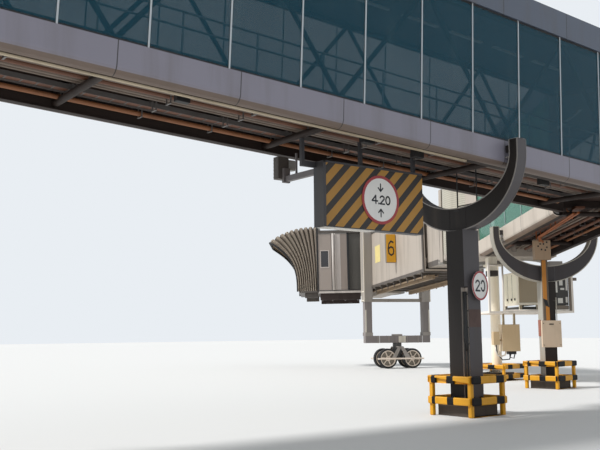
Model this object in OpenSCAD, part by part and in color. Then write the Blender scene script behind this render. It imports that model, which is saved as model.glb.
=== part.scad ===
// Jet bridge: a glazed walkway on curved yokes, a corner, a sloping branch, a rotunda,
// a two-section telescopic tunnel on a lifting carriage, and a turning cab with its canopy.
// Millimetres. +Z is up, +X runs along the main walkway towards the corner, +Y towards
// the aircraft stand, and the origin is under the middle of the near column's plinth.

/* [Walkway section] */
// Distance between glass joints
bay = 1650; // [1500:10:1800]
// Half of the outer width over the side panels
half_w = 1570; // [1450:10:1650]
// How far the glass stands in from the side panels
glass_inset = 54; // [40:1:70]
// Height of the glass
glass_h = 3170; // [2900:10:3300]
// Thickness of the glass
glass_t = 12; // [8:1:20]
// Height of the lower side panel, with its rounded foot
fascia_h = 610; // [560:5:660]
// Radius of the rounded foot
fascia_r = 180; // [120:5:220]
// Height of the roof side panel
roof_h = 690; // [600:10:760]
// Thickness of the side panel sheets
sheet = 15; // [10:1:20]
// Thickness of the floor deck
deck_t = 60; // [50:1:80]
// Thickness of the ceiling and the roof skin
skin_t = 50; // [40:1:70]

/* [Walkway frame] */
// Width of the flanges of the long edge beams
flange_w = 180; // [150:5:200]
// Thickness of those flanges
flange_t = 20; // [14:1:26]
// Thickness of the webs
web_t = 16; // [12:1:24]
// Height of the cross beams under the floor
cross_h = 200; // [160:5:240]
// Width of the cross beams
cross_w = 110; // [80:5:140]
// Square size of the truss chords
chord = 120; // [100:5:140]
// Diameter of the truss diagonals
diagonal_d = 110; // [90:5:120]
// Diameter of the cross tubes that join the truss nodes underneath
cross_tube_d = 150; // [120:5:170]
// Diameter of the service pipes
pipe_d = 110; // [80:5:130]
// Width of the cable tray
tray_w = 300; // [200:10:360]

/* [Walkway line] */
// Height of the glass foot above the ground at the near column
sill_z = 6500; // [6300:10:6800]
// Length of the main walkway before the near column
main_left = 15650; // [15400:10:16200]
// Place of the corner along the main walkway
corner_x = 6690; // [6400:10:6900]
// Fall of the main walkway, in degrees
main_fall = 2.72; // [2:0.01:3.2]
// Turn of the branch at the corner, in degrees
bend = 59; // [56:0.5:62]
// Fall of the branch, in degrees
branch_fall = 4.29; // [3.6:0.01:4.6]
// Thickness of the corner's collar frame
collar_t = 100; // [80:5:160]
// How far the collar stands proud of the side panels
collar_proud = 12; // [5:1:30]

/* [Yokes and columns] */
// Gap between a yoke's arms and the side panels, filled by its packers
yoke_gap = 140; // [100:5:180]
// Depth of a yoke at its tips
yoke_tip = 250; // [220:5:320]
// Depth of a yoke over the column
yoke_mid = 580; // [500:5:640]
// Width of a yoke along the walkway
yoke_w = 310; // [240:5:340]
// Height from the yoke's hollow up to the glass foot
yoke_drop = 1425; // [1350:5:1500]
// Height of the straight part of the arms
arm_h = 275; // [250:5:350]
// Square size of the main walkway's columns
column_w = 560; // [500:10:640]
// Square size of the branch's column
branch_column_w = 500; // [400:10:640]
// Size of the cable recess in a column's corner
slot_w = 120; // [90:5:150]
// Height of the recess's top above the ground
slot_top = 3100; // [2500:50:3400]
// Distance from the corner to the branch's yoke
branch_yoke_at = 5640; // [5400:10:5800]
// Square size of the plinths
plinth_w = 1000; // [900:10:1060]
// Height of the plinths
plinth_h = 300; // [200:10:360]

/* [Barriers] */
// Width of a barrier over its posts
barrier_w = 1300; // [1270:10:1500]
// Width of the rotunda's barrier over its posts
round_barrier_w = 1800; // [1600:10:2000]
// Height of the rotunda's barrier
round_barrier_h = 650; // [600:10:960]
// Height of the foot of the rotunda barrier's lower rail
round_low_rail_z = 80; // [60:10:300]
// Turn of the near barrier from the walkway, in degrees
near_guard_turn = 3; // [0:1:10]
// Turn of the branch's barrier and plinth from the main walkway, in degrees
branch_guard_turn = 8; // [0:1:20]
// Square size of the barrier posts
post_w = 110; // [90:5:130]
// Height of a barrier
barrier_h = 960; // [850:10:1050]
// Height of a barrier rail
rail_h = 180; // [140:5:200]
// Thickness of a barrier rail
rail_t = 60; // [40:5:80]
// Height of the lower rail's foot
low_rail_z = 280; // [250:10:400]

/* [Clearance sign] */
// Width of the clearance sign
sign_w = 2900; // [2700:10:3100]
// Height of the clearance sign
sign_h = 1430; // [1350:10:1500]
// Depth of the clearance sign
sign_t = 260; // [200:10:320]
// Height of its foot above the ground
sign_z = 4270; // [4200:10:4350]
// Place of its middle before the near column
sign_x = 3220; // [3000:10:3500]
// How far it stands in front of the walkway's middle
sign_y = 300; // [200:10:400]
// Diameter of the speed sign
speed_d = 720; // [500:10:760]
// Height of its middle above the ground
speed_z = 3130; // [2900:10:3300]

/* [Rotunda] */
// Distance from the corner to the rotunda's middle
rotunda_at = 11440; // [11200:10:11700]
// Radius of the rotunda's floor
rotunda_r = 2100; // [2050:10:2160]
// Height of the rotunda's room
rotunda_h = 3150; // [3050:10:3250]
// Thickness of the rotunda's curtain wall
curtain_t = 40; // [30:1:60]
// Diameter of the rotunda's column
rotunda_col_d = 420; // [380:10:560]

/* [Tunnel] */
// Direction of the tunnel from +X, in degrees
tunnel_heading = 66; // [62:0.5:70]
// Fall of the tunnel, in degrees
tunnel_fall = 2.3; // [1.8:0.1:2.8]
// Start of the inner tunnel from the rotunda's middle
inner_start = 2700; // [2680:10:2800]
// Length of the inner tunnel
inner_len = 7000; // [6600:50:7400]
// Half of the outer tunnel's outer width
outer_half = 1480; // [1450:10:1560]
// Room between the two tunnels' walls
side_play = 140; // [100:5:180]
// Room between the two tunnels' roofs
roof_play = 290; // [200:5:320]
// Outer height of the outer tunnel
outer_h = 3100; // [3050:10:3250]
// Start of the outer tunnel from the rotunda's middle
outer_start = 4330; // [4200:10:4500]
// Length of the outer tunnel
outer_len = 10500; // [10200:50:10800]
// Thickness of the tunnel walls
wall_t = 60; // [50:1:70]
// Thickness of the tunnel floors
floor_t = 100; // [80:5:120]
// Height left between the two tunnel floors
floor_gap = 50; // [40:1:70]
// Running clearance of pins and bores
run_gap = 0.1; // [0.05:0.05:0.1]
// Clearance of sliding pads and lift posts
pad_gap = 0.5; // [0.4:0.1:1]

/* [Lift and wheels] */
// Distance from the lift columns to the outer tunnel's far end
lift_before_end = 1930; // [1600:10:2600]
// Square size of the lift housings
housing_w = 500; // [470:5:540]
// Wall of the lift housings
housing_wall = 30; // [20:1:34]
// Square size of the lift posts inside them
lift_post_w = 410; // [380:5:425]
// Height of the housings' feet above the ground
housing_foot_z = 3750; // [3600:10:3900]
// Height of the carriage beam
beam_h = 400; // [340:10:440]
// Height of the carriage beam's foot above the ground
beam_z = 1430; // [1350:10:1500]
// Length of the lift posts above the carriage beam
lift_post_l = 4500; // [4200:50:4700]
// Radius of the wheels
wheel_r = 560; // [500:5:600]
// Width of the wheels
wheel_w = 260; // [220:10:320]
// Distance between the two axles
wheel_base = 1450; // [1350:10:1600]
// Distance between the middles of an axle's two wheels
wheel_track = 840; // [760:10:900]
// Radius of the axle
axle_r = 60; // [50:1:80]

/* [Cab] */
// Room between the outer tunnel's end and the cab's round back
cab_room = 70; // [60:5:150]
// Turn of the cab from the tunnel's line, in degrees
cab_turn = 75; // [72:1:80]
// Radius of the cab's round back
cab_r = 1760; // [1700:10:1780]
// Reach of the cab from its turning axis to its sill
cab_reach = 3500; // [3300:10:3700]
// Height of the cab's room
cab_h = 3520; // [3300:10:3600]
// Thickness of the cab walls
cab_wall = 50; // [40:1:70]
// Reach of the canopy past the cab, at its top
canopy_reach = 2950; // [2600:50:3100]
// Reach of the canopy past the cab, at its foot
canopy_foot = 1270; // [900:10:1400]
// Drop of the canopy's top towards its front
canopy_drop = 850; // [500:50:1000]
// Height of the canopy's top above the cab's walls
canopy_rise = 445; // [160:5:500]
// Thickness of the canopy's folds
canopy_t = 200; // [160:10:260]

/* [Hidden] */
$fn = 200;
// Glass plane and truss plane, as half widths
glass_half = half_w - glass_inset;
truss_half = glass_half - glass_t - chord / 2 - 40;
// A truss module is three bays and a side panel is half a module
module_l = 3 * bay;
panel_l = module_l / 2;
// The module joints lie just before the near column
module_x0 = -120;
// The end yoke stands three modules before the near column
end_yoke_x = module_x0 - 3 * module_l;
beam_half = half_w - fascia_r - flange_w / 2;
beam_h_edge = fascia_h - deck_t;
end_margin = 150;
packer_h = 160;
packer_l = 220;
seat = 0.3;
beam_joint = 0.5;
// Faces that cut through others run past them by this much
past = 20;
far = 12000;

// Heights of the glass foot at the corner, at the yokes and at the rotunda
corner_sill = sill_z - corner_x * tan(main_fall);
end_sill = sill_z - end_yoke_x * tan(main_fall);
branch_sill = corner_sill - branch_yoke_at * tan(branch_fall);
rotunda_z = corner_sill - rotunda_at * tan(branch_fall);
branch_len = (rotunda_at - rotunda_r - past) / cos(branch_fall);
portal_l = 900;
branch_end = branch_len - portal_l;
branch_yoke_xy = [corner_x + branch_yoke_at * cos(bend), branch_yoke_at * sin(bend)];
rotunda_xy = [corner_x + rotunda_at * cos(bend), rotunda_at * sin(bend)];
column_roots = [[end_yoke_x, 0, 0, end_sill, column_w, 0], [0, 0, 0, sill_z, column_w, 0],
    [branch_yoke_xy[0], branch_yoke_xy[1], bend, branch_sill, branch_column_w, branch_guard_turn - bend]];

// How far the slanted cut at the corner reaches along a side panel
corner_reach = (half_w + collar_proud) * tan(bend / 2) + collar_t;

rotunda_floor_t = 200;
rotunda_roof_t = 180;
slew_top = 70;
slew_t = 200;
slew_ring_r = 620;
slew_arm_w = 260;
slew_frame_l = 300;
slew_frame_gap = 30;
slew_frame_x = rotunda_r + slew_frame_gap;
hinge_x = inner_start - 20;
hinge_r = 45;
lug_t = 80;
lug_r = 110;
collar_r = 430;
collar_h = 60;
inner_half = outer_half - wall_t - side_play;
inner_bottom = -floor_t;
outer_bottom = inner_bottom - floor_gap - floor_t;
inner_h = outer_h - 2 * floor_t - floor_gap - wall_t - roof_play + floor_t;
outer_end = outer_start + outer_len;
lift_at = outer_end - lift_before_end;
cab_at = outer_end + cab_r + cab_room;
pad_l = 400;
pad_w = 200;
side_pad_h = 400;

lift_half = outer_half + housing_w / 2;
housing_top = 3300;
tie_l = 200;
tie_h = 180;
guide_h = 220;
spindle_r = 150;
axle_z = wheel_r;
bogie_w = 420;
bogie_top_gap = 6;

cab_tongue_w = 900;
cab_tongue_l = 1500;
cab_tongue_t = 220;
cab_boss_r = 420;
cab_pin_r = 140;
cab_floor_t = floor_t;
cab_roof_t = 140;
cab_header_l = 120;
cab_gap = 20;
cab_wall_from = 1700;
cab_curtain_from = 186;
cab_side = cab_r - 30;

// Colours as they look in daylight
panel_grey = "#b3b0bb";
roof_grey = "#9c9896";
frame_brown = "#4a3b34";
yoke_slate = "#3b3d41";
glass_green = "#3f7f7b";
cream = "#cdc3b4";
bridge_beige = "#b9b2a6";

// Place a child on the main walkway's line or on the branch's
module on_main() { translate([0, 0, sill_z]) rotate([0, main_fall, 0]) children(); }
module on_branch() {
    translate([corner_x, 0, corner_sill]) rotate([0, 0, bend]) rotate([0, branch_fall, 0]) children();
}

// Space past the corner's middle plane on one side, from a stand-off on
module corner_space(side, off) {
    low = side > 0 ? -off : off - far;
    translate([corner_x, 0, 0]) rotate([0, 0, bend / 2])
        translate([low, -far / 2, 0]) cube([far, far, far + 1000]);
}
module main_cut(off = collar_t / 2) { difference() { on_main() children(); corner_space(1, off); } }
module branch_cut(off = collar_t / 2) { difference() { on_branch() children(); corner_space(-1, off); } }

// The two runs, from and to along their own lines
main_from = -main_left;
main_to = corner_x + corner_reach + 200;
branch_from = -corner_reach - 200;

module box(low, high) { translate(low) cube(high - low); }
module both_sides() { children(); mirror([0, 1, 0]) children(); }

module deck(from, to) {
    w = glass_half - glass_t;
    box([from, -w, -deck_t], [to, w, 0]);
}

// Room for the edge beams where they run through the corner's frame
module beam_room(from, to) {
    both_sides() box([from, beam_half - flange_w / 2 - 3, -fascia_h - past], [to, beam_half + flange_w / 2 + 3, 3 - deck_t]);
}
module edge_beams(from, to) {
    both_sides() translate([0, beam_half, 0]) {
        box([from, -web_t / 2, -fascia_h + flange_t], [to, web_t / 2, -deck_t - flange_t]);
        box([from, -flange_w / 2, -fascia_h], [to, flange_w / 2, -fascia_h + flange_t]);
        box([from, -flange_w / 2, -deck_t - flange_t], [to, flange_w / 2, -deck_t]);
    }
}

module cross_beams(first, count, step, tubes_first, tubes) {
    inner = beam_half - web_t / 2;
    for (i = [0 : count - 1])
        box([first + i * step - cross_w / 2, -inner, -deck_t - flange_t - cross_h],
            [first + i * step + cross_w / 2, inner, -deck_t - flange_t]);
    for (i = [0 : tubes - 1]) cross_tube(tubes_first + i * module_l, cross_tube_d);
}
tube_z = -fascia_h + flange_t + cross_tube_d / 2 + 40;
tube_drop = -tube_z - deck_t - flange_t - cross_h;
module cross_tube(x, d) {
    inner = beam_half - web_t / 2;
    translate([x, inner, tube_z]) rotate([90, 0, 0]) cylinder(d = d, h = 2 * inner);
}

// Outline of the lower side panel: a flat face, a quarter round foot and a short top lip
function foot_arc(r, steps) = [for (i = [0 : steps]) let (a = -90 * i / steps)
    [half_w - fascia_r + r * cos(a), -fascia_h + fascia_r + r * sin(a)]];
function reversed(list) = [for (i = [len(list) - 1 : -1 : 0]) list[i]];
module side_panel_outline() {
    polygon(concat(
        [[glass_half - glass_t, 0], [half_w, 0]], foot_arc(fascia_r, 6),
        reversed(foot_arc(fascia_r - sheet, 6)),
        [[half_w - sheet, -sheet], [glass_half - glass_t, -sheet]]));
}
module along(from, to) {
    translate([from, 0, 0]) rotate([90, 0, 90]) linear_extrude(to - from) children();
}
module side_panels(from, to) { both_sides() along(from, to) side_panel_outline(); }

module glass_walls(from, to) {
    both_sides() box([from, glass_half - glass_t, 0], [to, glass_half, glass_h]);
}

// Bar between two points of a truss plane, eight-sided
module bar(a, b, d) {
    run = b - a;
    translate([a[0], 0, a[1]]) rotate([0, atan2(run[0], run[1]), 0])
        rotate([0, 0, 22.5]) cylinder(d = d, h = norm(run), $fn = 8);
}
module truss(from, to, first, modules) {
    low = chord / 2;
    high = glass_h - chord / 2;
    translate([0, truss_half, 0]) {
        box([from, -chord / 2, 0], [to, chord / 2, chord]);
        box([from, -chord / 2, glass_h - chord], [to, chord / 2, glass_h]);
        for (i = [0 : modules - 1]) {
            x = first + i * module_l;
            bar([x, low], [x + module_l / 2, high], diagonal_d);
            bar([x + module_l / 2, high], [x + module_l, low], diagonal_d);
        }
    }
}

module roof(from, to) {
    w = half_w - sheet;
    box([from, -w, glass_h], [to, w, glass_h + skin_t]);
    box([from, -w, glass_h + roof_h - skin_t], [to, w, glass_h + roof_h]);
}
module roof_panels(from, to) {
    both_sides() box([from, half_w - sheet, glass_h], [to, half_w, glass_h + roof_h]);
}

main_modules = 4;
branch_truss_x0 = 1250;
branch_modules = 1;
main_beam_count = 13;
branch_beam_count = 5;

module main_deck() { color(frame_brown) main_cut() deck(main_from, main_to); }
module main_edge_beams() { color(frame_brown) main_cut(beam_joint) edge_beams(main_from, main_to); }
module main_cross_beams() {
    color(frame_brown) on_main()
        cross_beams(end_yoke_x, main_beam_count, bay, end_yoke_x, main_modules + 1);
}
module main_side_panels() { color(panel_grey) main_cut() side_panels(main_from, main_to); }
module main_glass() { color(glass_green) main_cut() glass_walls(main_from, main_to); }
module main_truss_near() {
    color(yoke_slate) main_cut() mirror([0, 1, 0]) truss(main_from, main_to, end_yoke_x, main_modules + 1);
}
module main_truss_far() {
    color(yoke_slate) main_cut() truss(main_from, main_to, end_yoke_x, main_modules);
}
module main_roof() { color(roof_grey) main_cut() roof(main_from, main_to); }
module main_roof_panels() { color(roof_grey) main_cut() roof_panels(main_from, main_to); }

module branch_deck() { color(frame_brown) branch_cut() deck(branch_from, branch_end); }
module branch_edge_beams() { color(frame_brown) branch_cut(beam_joint) edge_beams(branch_from, branch_end); }
module branch_cross_beams() {
    color(frame_brown) on_branch()
        cross_beams(branch_truss_x0, branch_beam_count, bay, branch_truss_x0, branch_modules + 1);
}
module branch_side_panels() { color(cream) branch_cut() side_panels(branch_from, branch_end); }
module branch_glass() { color(glass_green) branch_cut() glass_walls(branch_from, branch_end); }
module branch_truss_left() {
    color(yoke_slate) branch_cut() truss(branch_from, branch_end, branch_truss_x0, branch_modules);
}
module branch_truss_right() {
    color(yoke_slate) branch_cut() mirror([0, 1, 0])
        truss(branch_from, branch_end, branch_truss_x0, branch_modules);
}
module branch_roof() { color(roof_grey) branch_cut() roof(branch_from, branch_end); }
module branch_roof_panels() { color(roof_grey) branch_cut() roof_panels(branch_from, branch_end); }

// Frame around the corner, in the plane that halves the bend, open under the floor.
// Its outline is the walkway's own, made wider by the slant of that plane.
function slanted(y) = y / cos(bend / 2);
module collar_outline() {
    r = fascia_r + collar_proud;
    top = glass_h + roof_h + collar_proud;
    polygon(concat(
        [[-past, -fascia_h - collar_proud]],
        [for (i = [0 : 6]) let (a = 15 * i - 90)
            [slanted(half_w - fascia_r + r * cos(a)), -fascia_h + fascia_r + r * sin(a)]],
        [[slanted(half_w + collar_proud), top], [-past, top]]));
}
module corner_collar() {
    room = slanted(truss_half - chord / 2);
    under = slanted(beam_half + flange_w / 2) + collar_t / 2 * tan(bend / 2) + 3;
    color(roof_grey) difference() {
        translate([corner_x, 0, corner_sill]) rotate([0, 0, bend / 2]) difference() {
            both_sides() translate([-collar_t / 2, 0, 0]) rotate([90, 0, 90]) linear_extrude(collar_t) collar_outline();
            box([-collar_t, -room, 0], [collar_t, room, glass_h - chord]);
            box([-collar_t, -under, -fascia_h - past], [collar_t, under, -deck_t]);
        }
        main_cut(0) beam_room(main_from, main_to);
        branch_cut(0) beam_room(branch_from, branch_len);
    }
}

// Pipes and a cable tray hung under the floor of both runs
module services(from, to) {
    z = -deck_t - flange_t - cross_h;
    box([from, 500, z - 60], [to, 500 + tray_w, z]);
    for (y = [-760, -260])
        translate([from, y, z - pipe_d / 2]) rotate([0, 90, 0]) cylinder(d = pipe_d, h = to - from);
}
module service_pipes() {
    color("#7d5038") {
        on_main() services(main_from + end_margin, corner_x - corner_reach);
        on_branch() services(corner_reach, branch_end - end_margin);
    }
}

// Curved yoke: two half ellipses with straight arms, as a flat plate outline
inner_a = half_w + yoke_gap;
outer_a = inner_a + yoke_tip;
inner_b = yoke_drop - arm_h;
outer_b = inner_b + yoke_mid;
yoke_steps = 28;
function half_ellipse(a, b) = [for (i = [0 : yoke_steps]) let (t = 180 + 180 * i / yoke_steps)
    [a * cos(t), b * sin(t)]];
module yoke_outer_outline() {
    polygon(concat([[-outer_a, arm_h]], half_ellipse(outer_a, outer_b), [[outer_a, arm_h]]));
}
module yoke_outline() {
    polygon(concat([[-outer_a, arm_h]], half_ellipse(outer_a, outer_b), [[outer_a, arm_h]],
        [[inner_a, arm_h]], reversed(half_ellipse(inner_a, inner_b)), [[-inner_a, arm_h]]));
}
// Place a child at a root, in the plane of its yoke, with the arms' foot at zero
module at_root(root) { translate([root[0], root[1], 0]) rotate([0, 0, root[2]]) children(); }
module yoke_plate(root, w) {
    at_root(root) translate([-w / 2, 0, root[3] - arm_h]) rotate([90, 0, 90]) linear_extrude(w) children();
}
module yoke(root) {
    color(yoke_slate) {
        yoke_plate(root, yoke_w) yoke_outline();
        at_root(root) both_sides()
            box([-packer_l / 2, half_w + seat, root[3] - packer_h - 120],
                [packer_l / 2, inner_a, root[3] - 120]);
    }
}
module end_yoke() { yoke(column_roots[0]); }
module near_yoke() { yoke(column_roots[1]); }
module branch_yoke() { yoke(column_roots[2]); }

// Square column from its plinth up into the saddle of its yoke, with a recess in one corner
module column(root) {
    half = root[4] / 2;
    seat_z = root[3] - arm_h - outer_b + 200;
    color(yoke_slate) difference() {
        at_root(root) box([-half, -half, plinth_h], [half, half, seat_z]);
        yoke_plate(root, root[4] + past) yoke_outer_outline();
        at_root(root) box([-half - past, -half - past, plinth_h + 60],
            [slot_w - half, slot_w - half, slot_top]);
    }
}
module end_column() { column(column_roots[0]); }
module near_column() { column(column_roots[1]); }
module branch_column() { column(column_roots[2]); }

module plinth(w) { translate([-w / 2, -w / 2, 0]) cube([w, w, plinth_h]); }
module plinths() {
    color("#a8a49b") {
        for (root = column_roots) at_root(root) rotate([0, 0, root[5]]) plinth(plinth_w);
        translate(rotunda_xy) rotate([0, 0, branch_guard_turn]) plinth(plinth_w);
    }
}

// Square guard of four corner posts, two rows of rails and a flat foot round the plinth
module barrier(w, h, low_z) {
    half = w / 2;
    in = half - post_w;
    hole = plinth_w / 2 + seat;
    for (x = [-half, in], y = [-half, in]) box([x, y, 0], [x + post_w, y + post_w, h]);
    for (turn = [0, 90, 180, 270], z = [low_z, h - rail_h])
        rotate([0, 0, turn]) box([-half, -half - rail_t, z], [half, -half, z + rail_h]);
    difference() {
        box([-half, -half, 0], [half, half, 15]);
        box([-hole, -hole, -past], [hole, hole, past]);
    }
}
module near_barrier() {
    color("#e5ae1d") difference() {
        rotate([0, 0, near_guard_turn]) barrier(barrier_w, barrier_h, low_rail_z);
        plinth(plinth_w + 2 * seat);
    }
}
module branch_barrier() {
    color("#e5ae1d") translate(branch_yoke_xy) rotate([0, 0, branch_guard_turn])
        barrier(barrier_w, barrier_h, low_rail_z);
}
module rotunda_barrier() {
    color("#e5ae1d") translate(rotunda_xy) rotate([0, 0, branch_guard_turn])
        barrier(round_barrier_w, round_barrier_h, round_low_rail_z);
}

// Clearance sign: a flat box under the walkway, carried by a frame
module clearance_sign() {
    color("#d9a441") box([-sign_x - sign_w / 2, -sign_y - sign_t / 2, sign_z],
        [-sign_x + sign_w / 2, -sign_y + sign_t / 2, sign_z + sign_h]);
}
hanger_w = 80;
module sign_frame() {
    top = sign_z + sign_h;
    under = sill_z - (deck_t + flange_t + cross_h) / cos(main_fall);
    back = -sign_y + sign_t / 2;
    first = module_x0 - 3 * bay;
    color("#3a3a3c") {
        for (i = [1 : 2]) {
            x = first + i * bay;
            box([x - hanger_w / 2, back, top - 120],
                [x + hanger_w / 2, back + hanger_w, under - (x + hanger_w / 2) * tan(main_fall)]);
        }
        difference() {
            box([first - hanger_w / 2, back, top - 120],
                [first + hanger_w / 2, back + hanger_w, under - first * tan(main_fall) - tube_drop]);
            on_main() cross_tube(first, cross_tube_d + 2 * seat);
        }
        box([first - hanger_w / 2, back, top - 120], [first + 2 * bay + hanger_w / 2, back + hanger_w, top]);
        box([-sign_x - sign_w / 2 - 60, -sign_y - sign_t / 2, sign_z],
            [-sign_x - sign_w / 2, back + hanger_w, top]);
    }
}
module speed_sign() {
    half = column_w / 2;
    color("#e8e6e2") {
        translate([speed_x, -half - 70, speed_z]) rotate([90, 0, speed_turn]) cylinder(d = speed_d, h = 6);
        box([speed_x - 120, -half - 55, speed_z - 180], [speed_x - 40, -half, speed_z + 180]);
        box([speed_x - 120, -half - 75, speed_z - 40], [speed_x + 60, -half - 45, speed_z + 40]);
    }
}
speed_x = 200;
speed_turn = 10;

// Boxes and cable duct on the face of the branch column that looks back along the branch
module column_boxes() {
    face = -branch_column_w / 2;
    root = column_roots[2];
    color("#cfc7ad") at_root(root) {
        box([face - 220, -40, branch_sill - 1230], [face, 550, branch_sill - 530]);
        box([face - 80, 50, 2380], [face, 270, branch_sill - 1230]);
        box([face - 120, -340, 1440], [face, 360, 2380]);
    }
}

// Rotunda: a round room on one column, open to the branch and to the tunnel
module at_rotunda() { translate([rotunda_xy[0], rotunda_xy[1], rotunda_z]) children(); }
module sector(r_in, r_out, from, to, h) {
    rotate([0, 0, from]) rotate_extrude(angle = to - from) translate([r_in, 0]) square([r_out - r_in, h]);
}
entrance_half = asin((glass_half - glass_t) / (rotunda_r - curtain_t / 2));
tunnel_half = 62;
back = bend + 180;
module rotunda_column() {
    top = rotunda_z - rotunda_floor_t;
    color(cream) translate(rotunda_xy) {
        translate([0, 0, plinth_h]) cylinder(d = rotunda_col_d, h = top - plinth_h);
        translate([0, 0, top - slew_top - slew_t - collar_h - pad_gap]) cylinder(r = collar_r, h = collar_h);
    }
}
module rotunda_floor() {
    color(bridge_beige) at_rotunda() translate([0, 0, -rotunda_floor_t])
        cylinder(r = rotunda_r, h = rotunda_floor_t);
}
module rotunda_roof() {
    color(bridge_beige) at_rotunda() translate([0, 0, rotunda_h])
        cylinder(r = rotunda_r, h = rotunda_roof_t);
}
module rotunda_curtain() {
    r = rotunda_r - 10;
    color("#b8b2a2") at_rotunda() {
        sector(r - curtain_t, r, tunnel_heading + tunnel_half, back - entrance_half, rotunda_h);
        sector(r - curtain_t, r, back + entrance_half, tunnel_heading - tunnel_half + 360, rotunda_h);
    }
}
// Portal that joins the branch's flat end to the round room
module rotunda_portal() {
    room = truss_half - chord / 2;
    color(bridge_beige) difference() {
        on_branch() difference() {
            box([branch_end, -half_w, -fascia_h], [branch_len + 800, half_w, glass_h + 100]);
            box([branch_end - past, -room, 0], [branch_len + far, room, glass_h - chord]);
        }
        translate([rotunda_xy[0], rotunda_xy[1], 0]) cylinder(r = rotunda_r, h = far);
        translate([rotunda_xy[0], rotunda_xy[1], 0]) rotate([0, 0, bend])
            box([-rotunda_r * cos(50), -far / 2, 0], [far, far / 2, far]);
    }
}

// Service platform beside the rotunda's column, with its air units
platform_z = 2800;
platform_t = 80;
platform_l = 2600;
platform_low_y = -1240;
platform_high_y = 2200;
platform_post = 80;
front_post_h = 1900;
unit_foot_h = 320;
unit_h = 1250;
unit_l = 1800;
unit_y = [80, 870];
far_unit_y = [1250, 1950];
low_unit_z = 1220;
low_unit_h = 1070;
low_unit_y = [-470, 260];
low_unit_l = 430;
module at_platform() {
    translate([rotunda_xy[0], rotunda_xy[1], 0]) rotate([0, 0, bend + 180]) children();
}
platform_from = collar_r;
platform_to = platform_from + platform_l;
module service_platform() {
    color(cream) at_platform() {
        difference() {
            box([0, platform_low_y, platform_z - platform_t], [platform_to, platform_high_y, platform_z]);
            cylinder(d = rotunda_col_d + 2 * seat, h = platform_z + past);
        }
        for (y = [platform_low_y, platform_high_y - platform_post]) {
            box([platform_from + 500, y, platform_z],
                [platform_from + 500 + platform_post, y + platform_post, platform_z + front_post_h]);
            box([platform_to - platform_post, y, platform_z],
                [platform_to, y + platform_post, platform_z + front_post_h]);
        }
    }
}
// A cabinet on four feet
module unit(from, to, foot_h, h) {
    translate([0, 0, foot_h]) box([from[0], from[1], 0], [to[0], to[1], h]);
    for (x = [from[0], to[0] - 100], y = [from[1], to[1] - 100]) box([x, y, 0], [x + 100, y + 100, foot_h]);
}
module air_units() {
    unit_to = platform_to - 250;
    low_to = platform_to - 850;
    color("#ded7bf") at_platform() {
        translate([0, 0, platform_z]) {
            unit([unit_to - unit_l, unit_y[0]], [unit_to, unit_y[1]], unit_foot_h, unit_h);
            unit([unit_to - 1100, far_unit_y[0]], [unit_to, far_unit_y[1]], unit_foot_h / 2, unit_h);
        }
        box([low_to - low_unit_l, low_unit_y[0], low_unit_z],
            [low_to, low_unit_y[1], low_unit_z + low_unit_h]);
        for (y = [low_unit_y[0] + 100, low_unit_y[1] - 180])
            box([low_to - 260, y, low_unit_z + low_unit_h], [low_to - 180, y + 80, platform_z - platform_t]);
    }
}

// Tunnel pieces are drawn along the tunnel, from the rotunda's middle at floor height
module on_tunnel() {
    at_rotunda() rotate([0, 0, tunnel_heading]) rotate([0, tunnel_fall, 0]) children();
}
module level_tunnel() { at_rotunda() rotate([0, 0, tunnel_heading]) children(); }

// Turning frame: a ring under the rotunda floor, two arms and the tunnel's portal
module slew_frame() {
    ring_top = -rotunda_floor_t - slew_top;
    end = slew_frame_x + slew_frame_l;
    half = inner_half + 150;
    color("#77736d") difference() {
        union() {
            level_tunnel() {
                translate([0, 0, ring_top - slew_t]) cylinder(r = slew_ring_r, h = slew_t);
                both_sides() box([300, 250, ring_top - slew_t], [end, 250 + slew_arm_w, ring_top]);
                difference() {
                    box([slew_frame_x, -half, ring_top], [end, half, rotunda_h]);
                    box([0, -half + 150, 0], [end + past, half - 150, inner_h - floor_t - wall_t]);
                }
            }
            on_tunnel() both_sides() hinge_lug(inner_half + 50, end - 40);
        }
        translate([rotunda_xy[0], rotunda_xy[1], 0])
            cylinder(d = rotunda_col_d + 2 * run_gap, h = far);
        on_tunnel() translate([hinge_x, 0, inner_bottom / 2]) rotate([90, 0, 0])
            translate([0, 0, -half - past]) cylinder(r = hinge_r + run_gap, h = 2 * half + 2 * past);
    }
}
// Lug of the frame beside the tunnel, round its hinge pin
module hinge_lug(y, from) {
    translate([hinge_x, y + lug_t, inner_bottom / 2]) rotate([90, 0, 0]) cylinder(r = lug_r, h = lug_t);
    box([from, y, inner_bottom / 2 - lug_r], [hinge_x, y + lug_t, inner_bottom / 2 + lug_r]);
}

module inner_floor() {
    color(bridge_beige) on_tunnel() {
        box([inner_start, -inner_half, inner_bottom], [inner_start + inner_len, inner_half, 0]);
        both_sides() {
            box([hinge_x, inner_half - lug_t, inner_bottom], [inner_start, inner_half, 0]);
            translate([hinge_x, inner_half + 50 + lug_t, inner_bottom / 2]) rotate([90, 0, 0])
                cylinder(r = hinge_r, h = 100 + lug_t);
        }
    }
}
module inner_walls() {
    top = inner_h - floor_t - wall_t;
    color(bridge_beige) on_tunnel() both_sides()
        box([inner_start, inner_half - wall_t, 0], [inner_start + inner_len, inner_half, top]);
}
module inner_roof() {
    top = inner_h - floor_t;
    color(bridge_beige) on_tunnel()
        box([inner_start, -inner_half, top - wall_t], [inner_start + inner_len, inner_half, top]);
}

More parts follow.
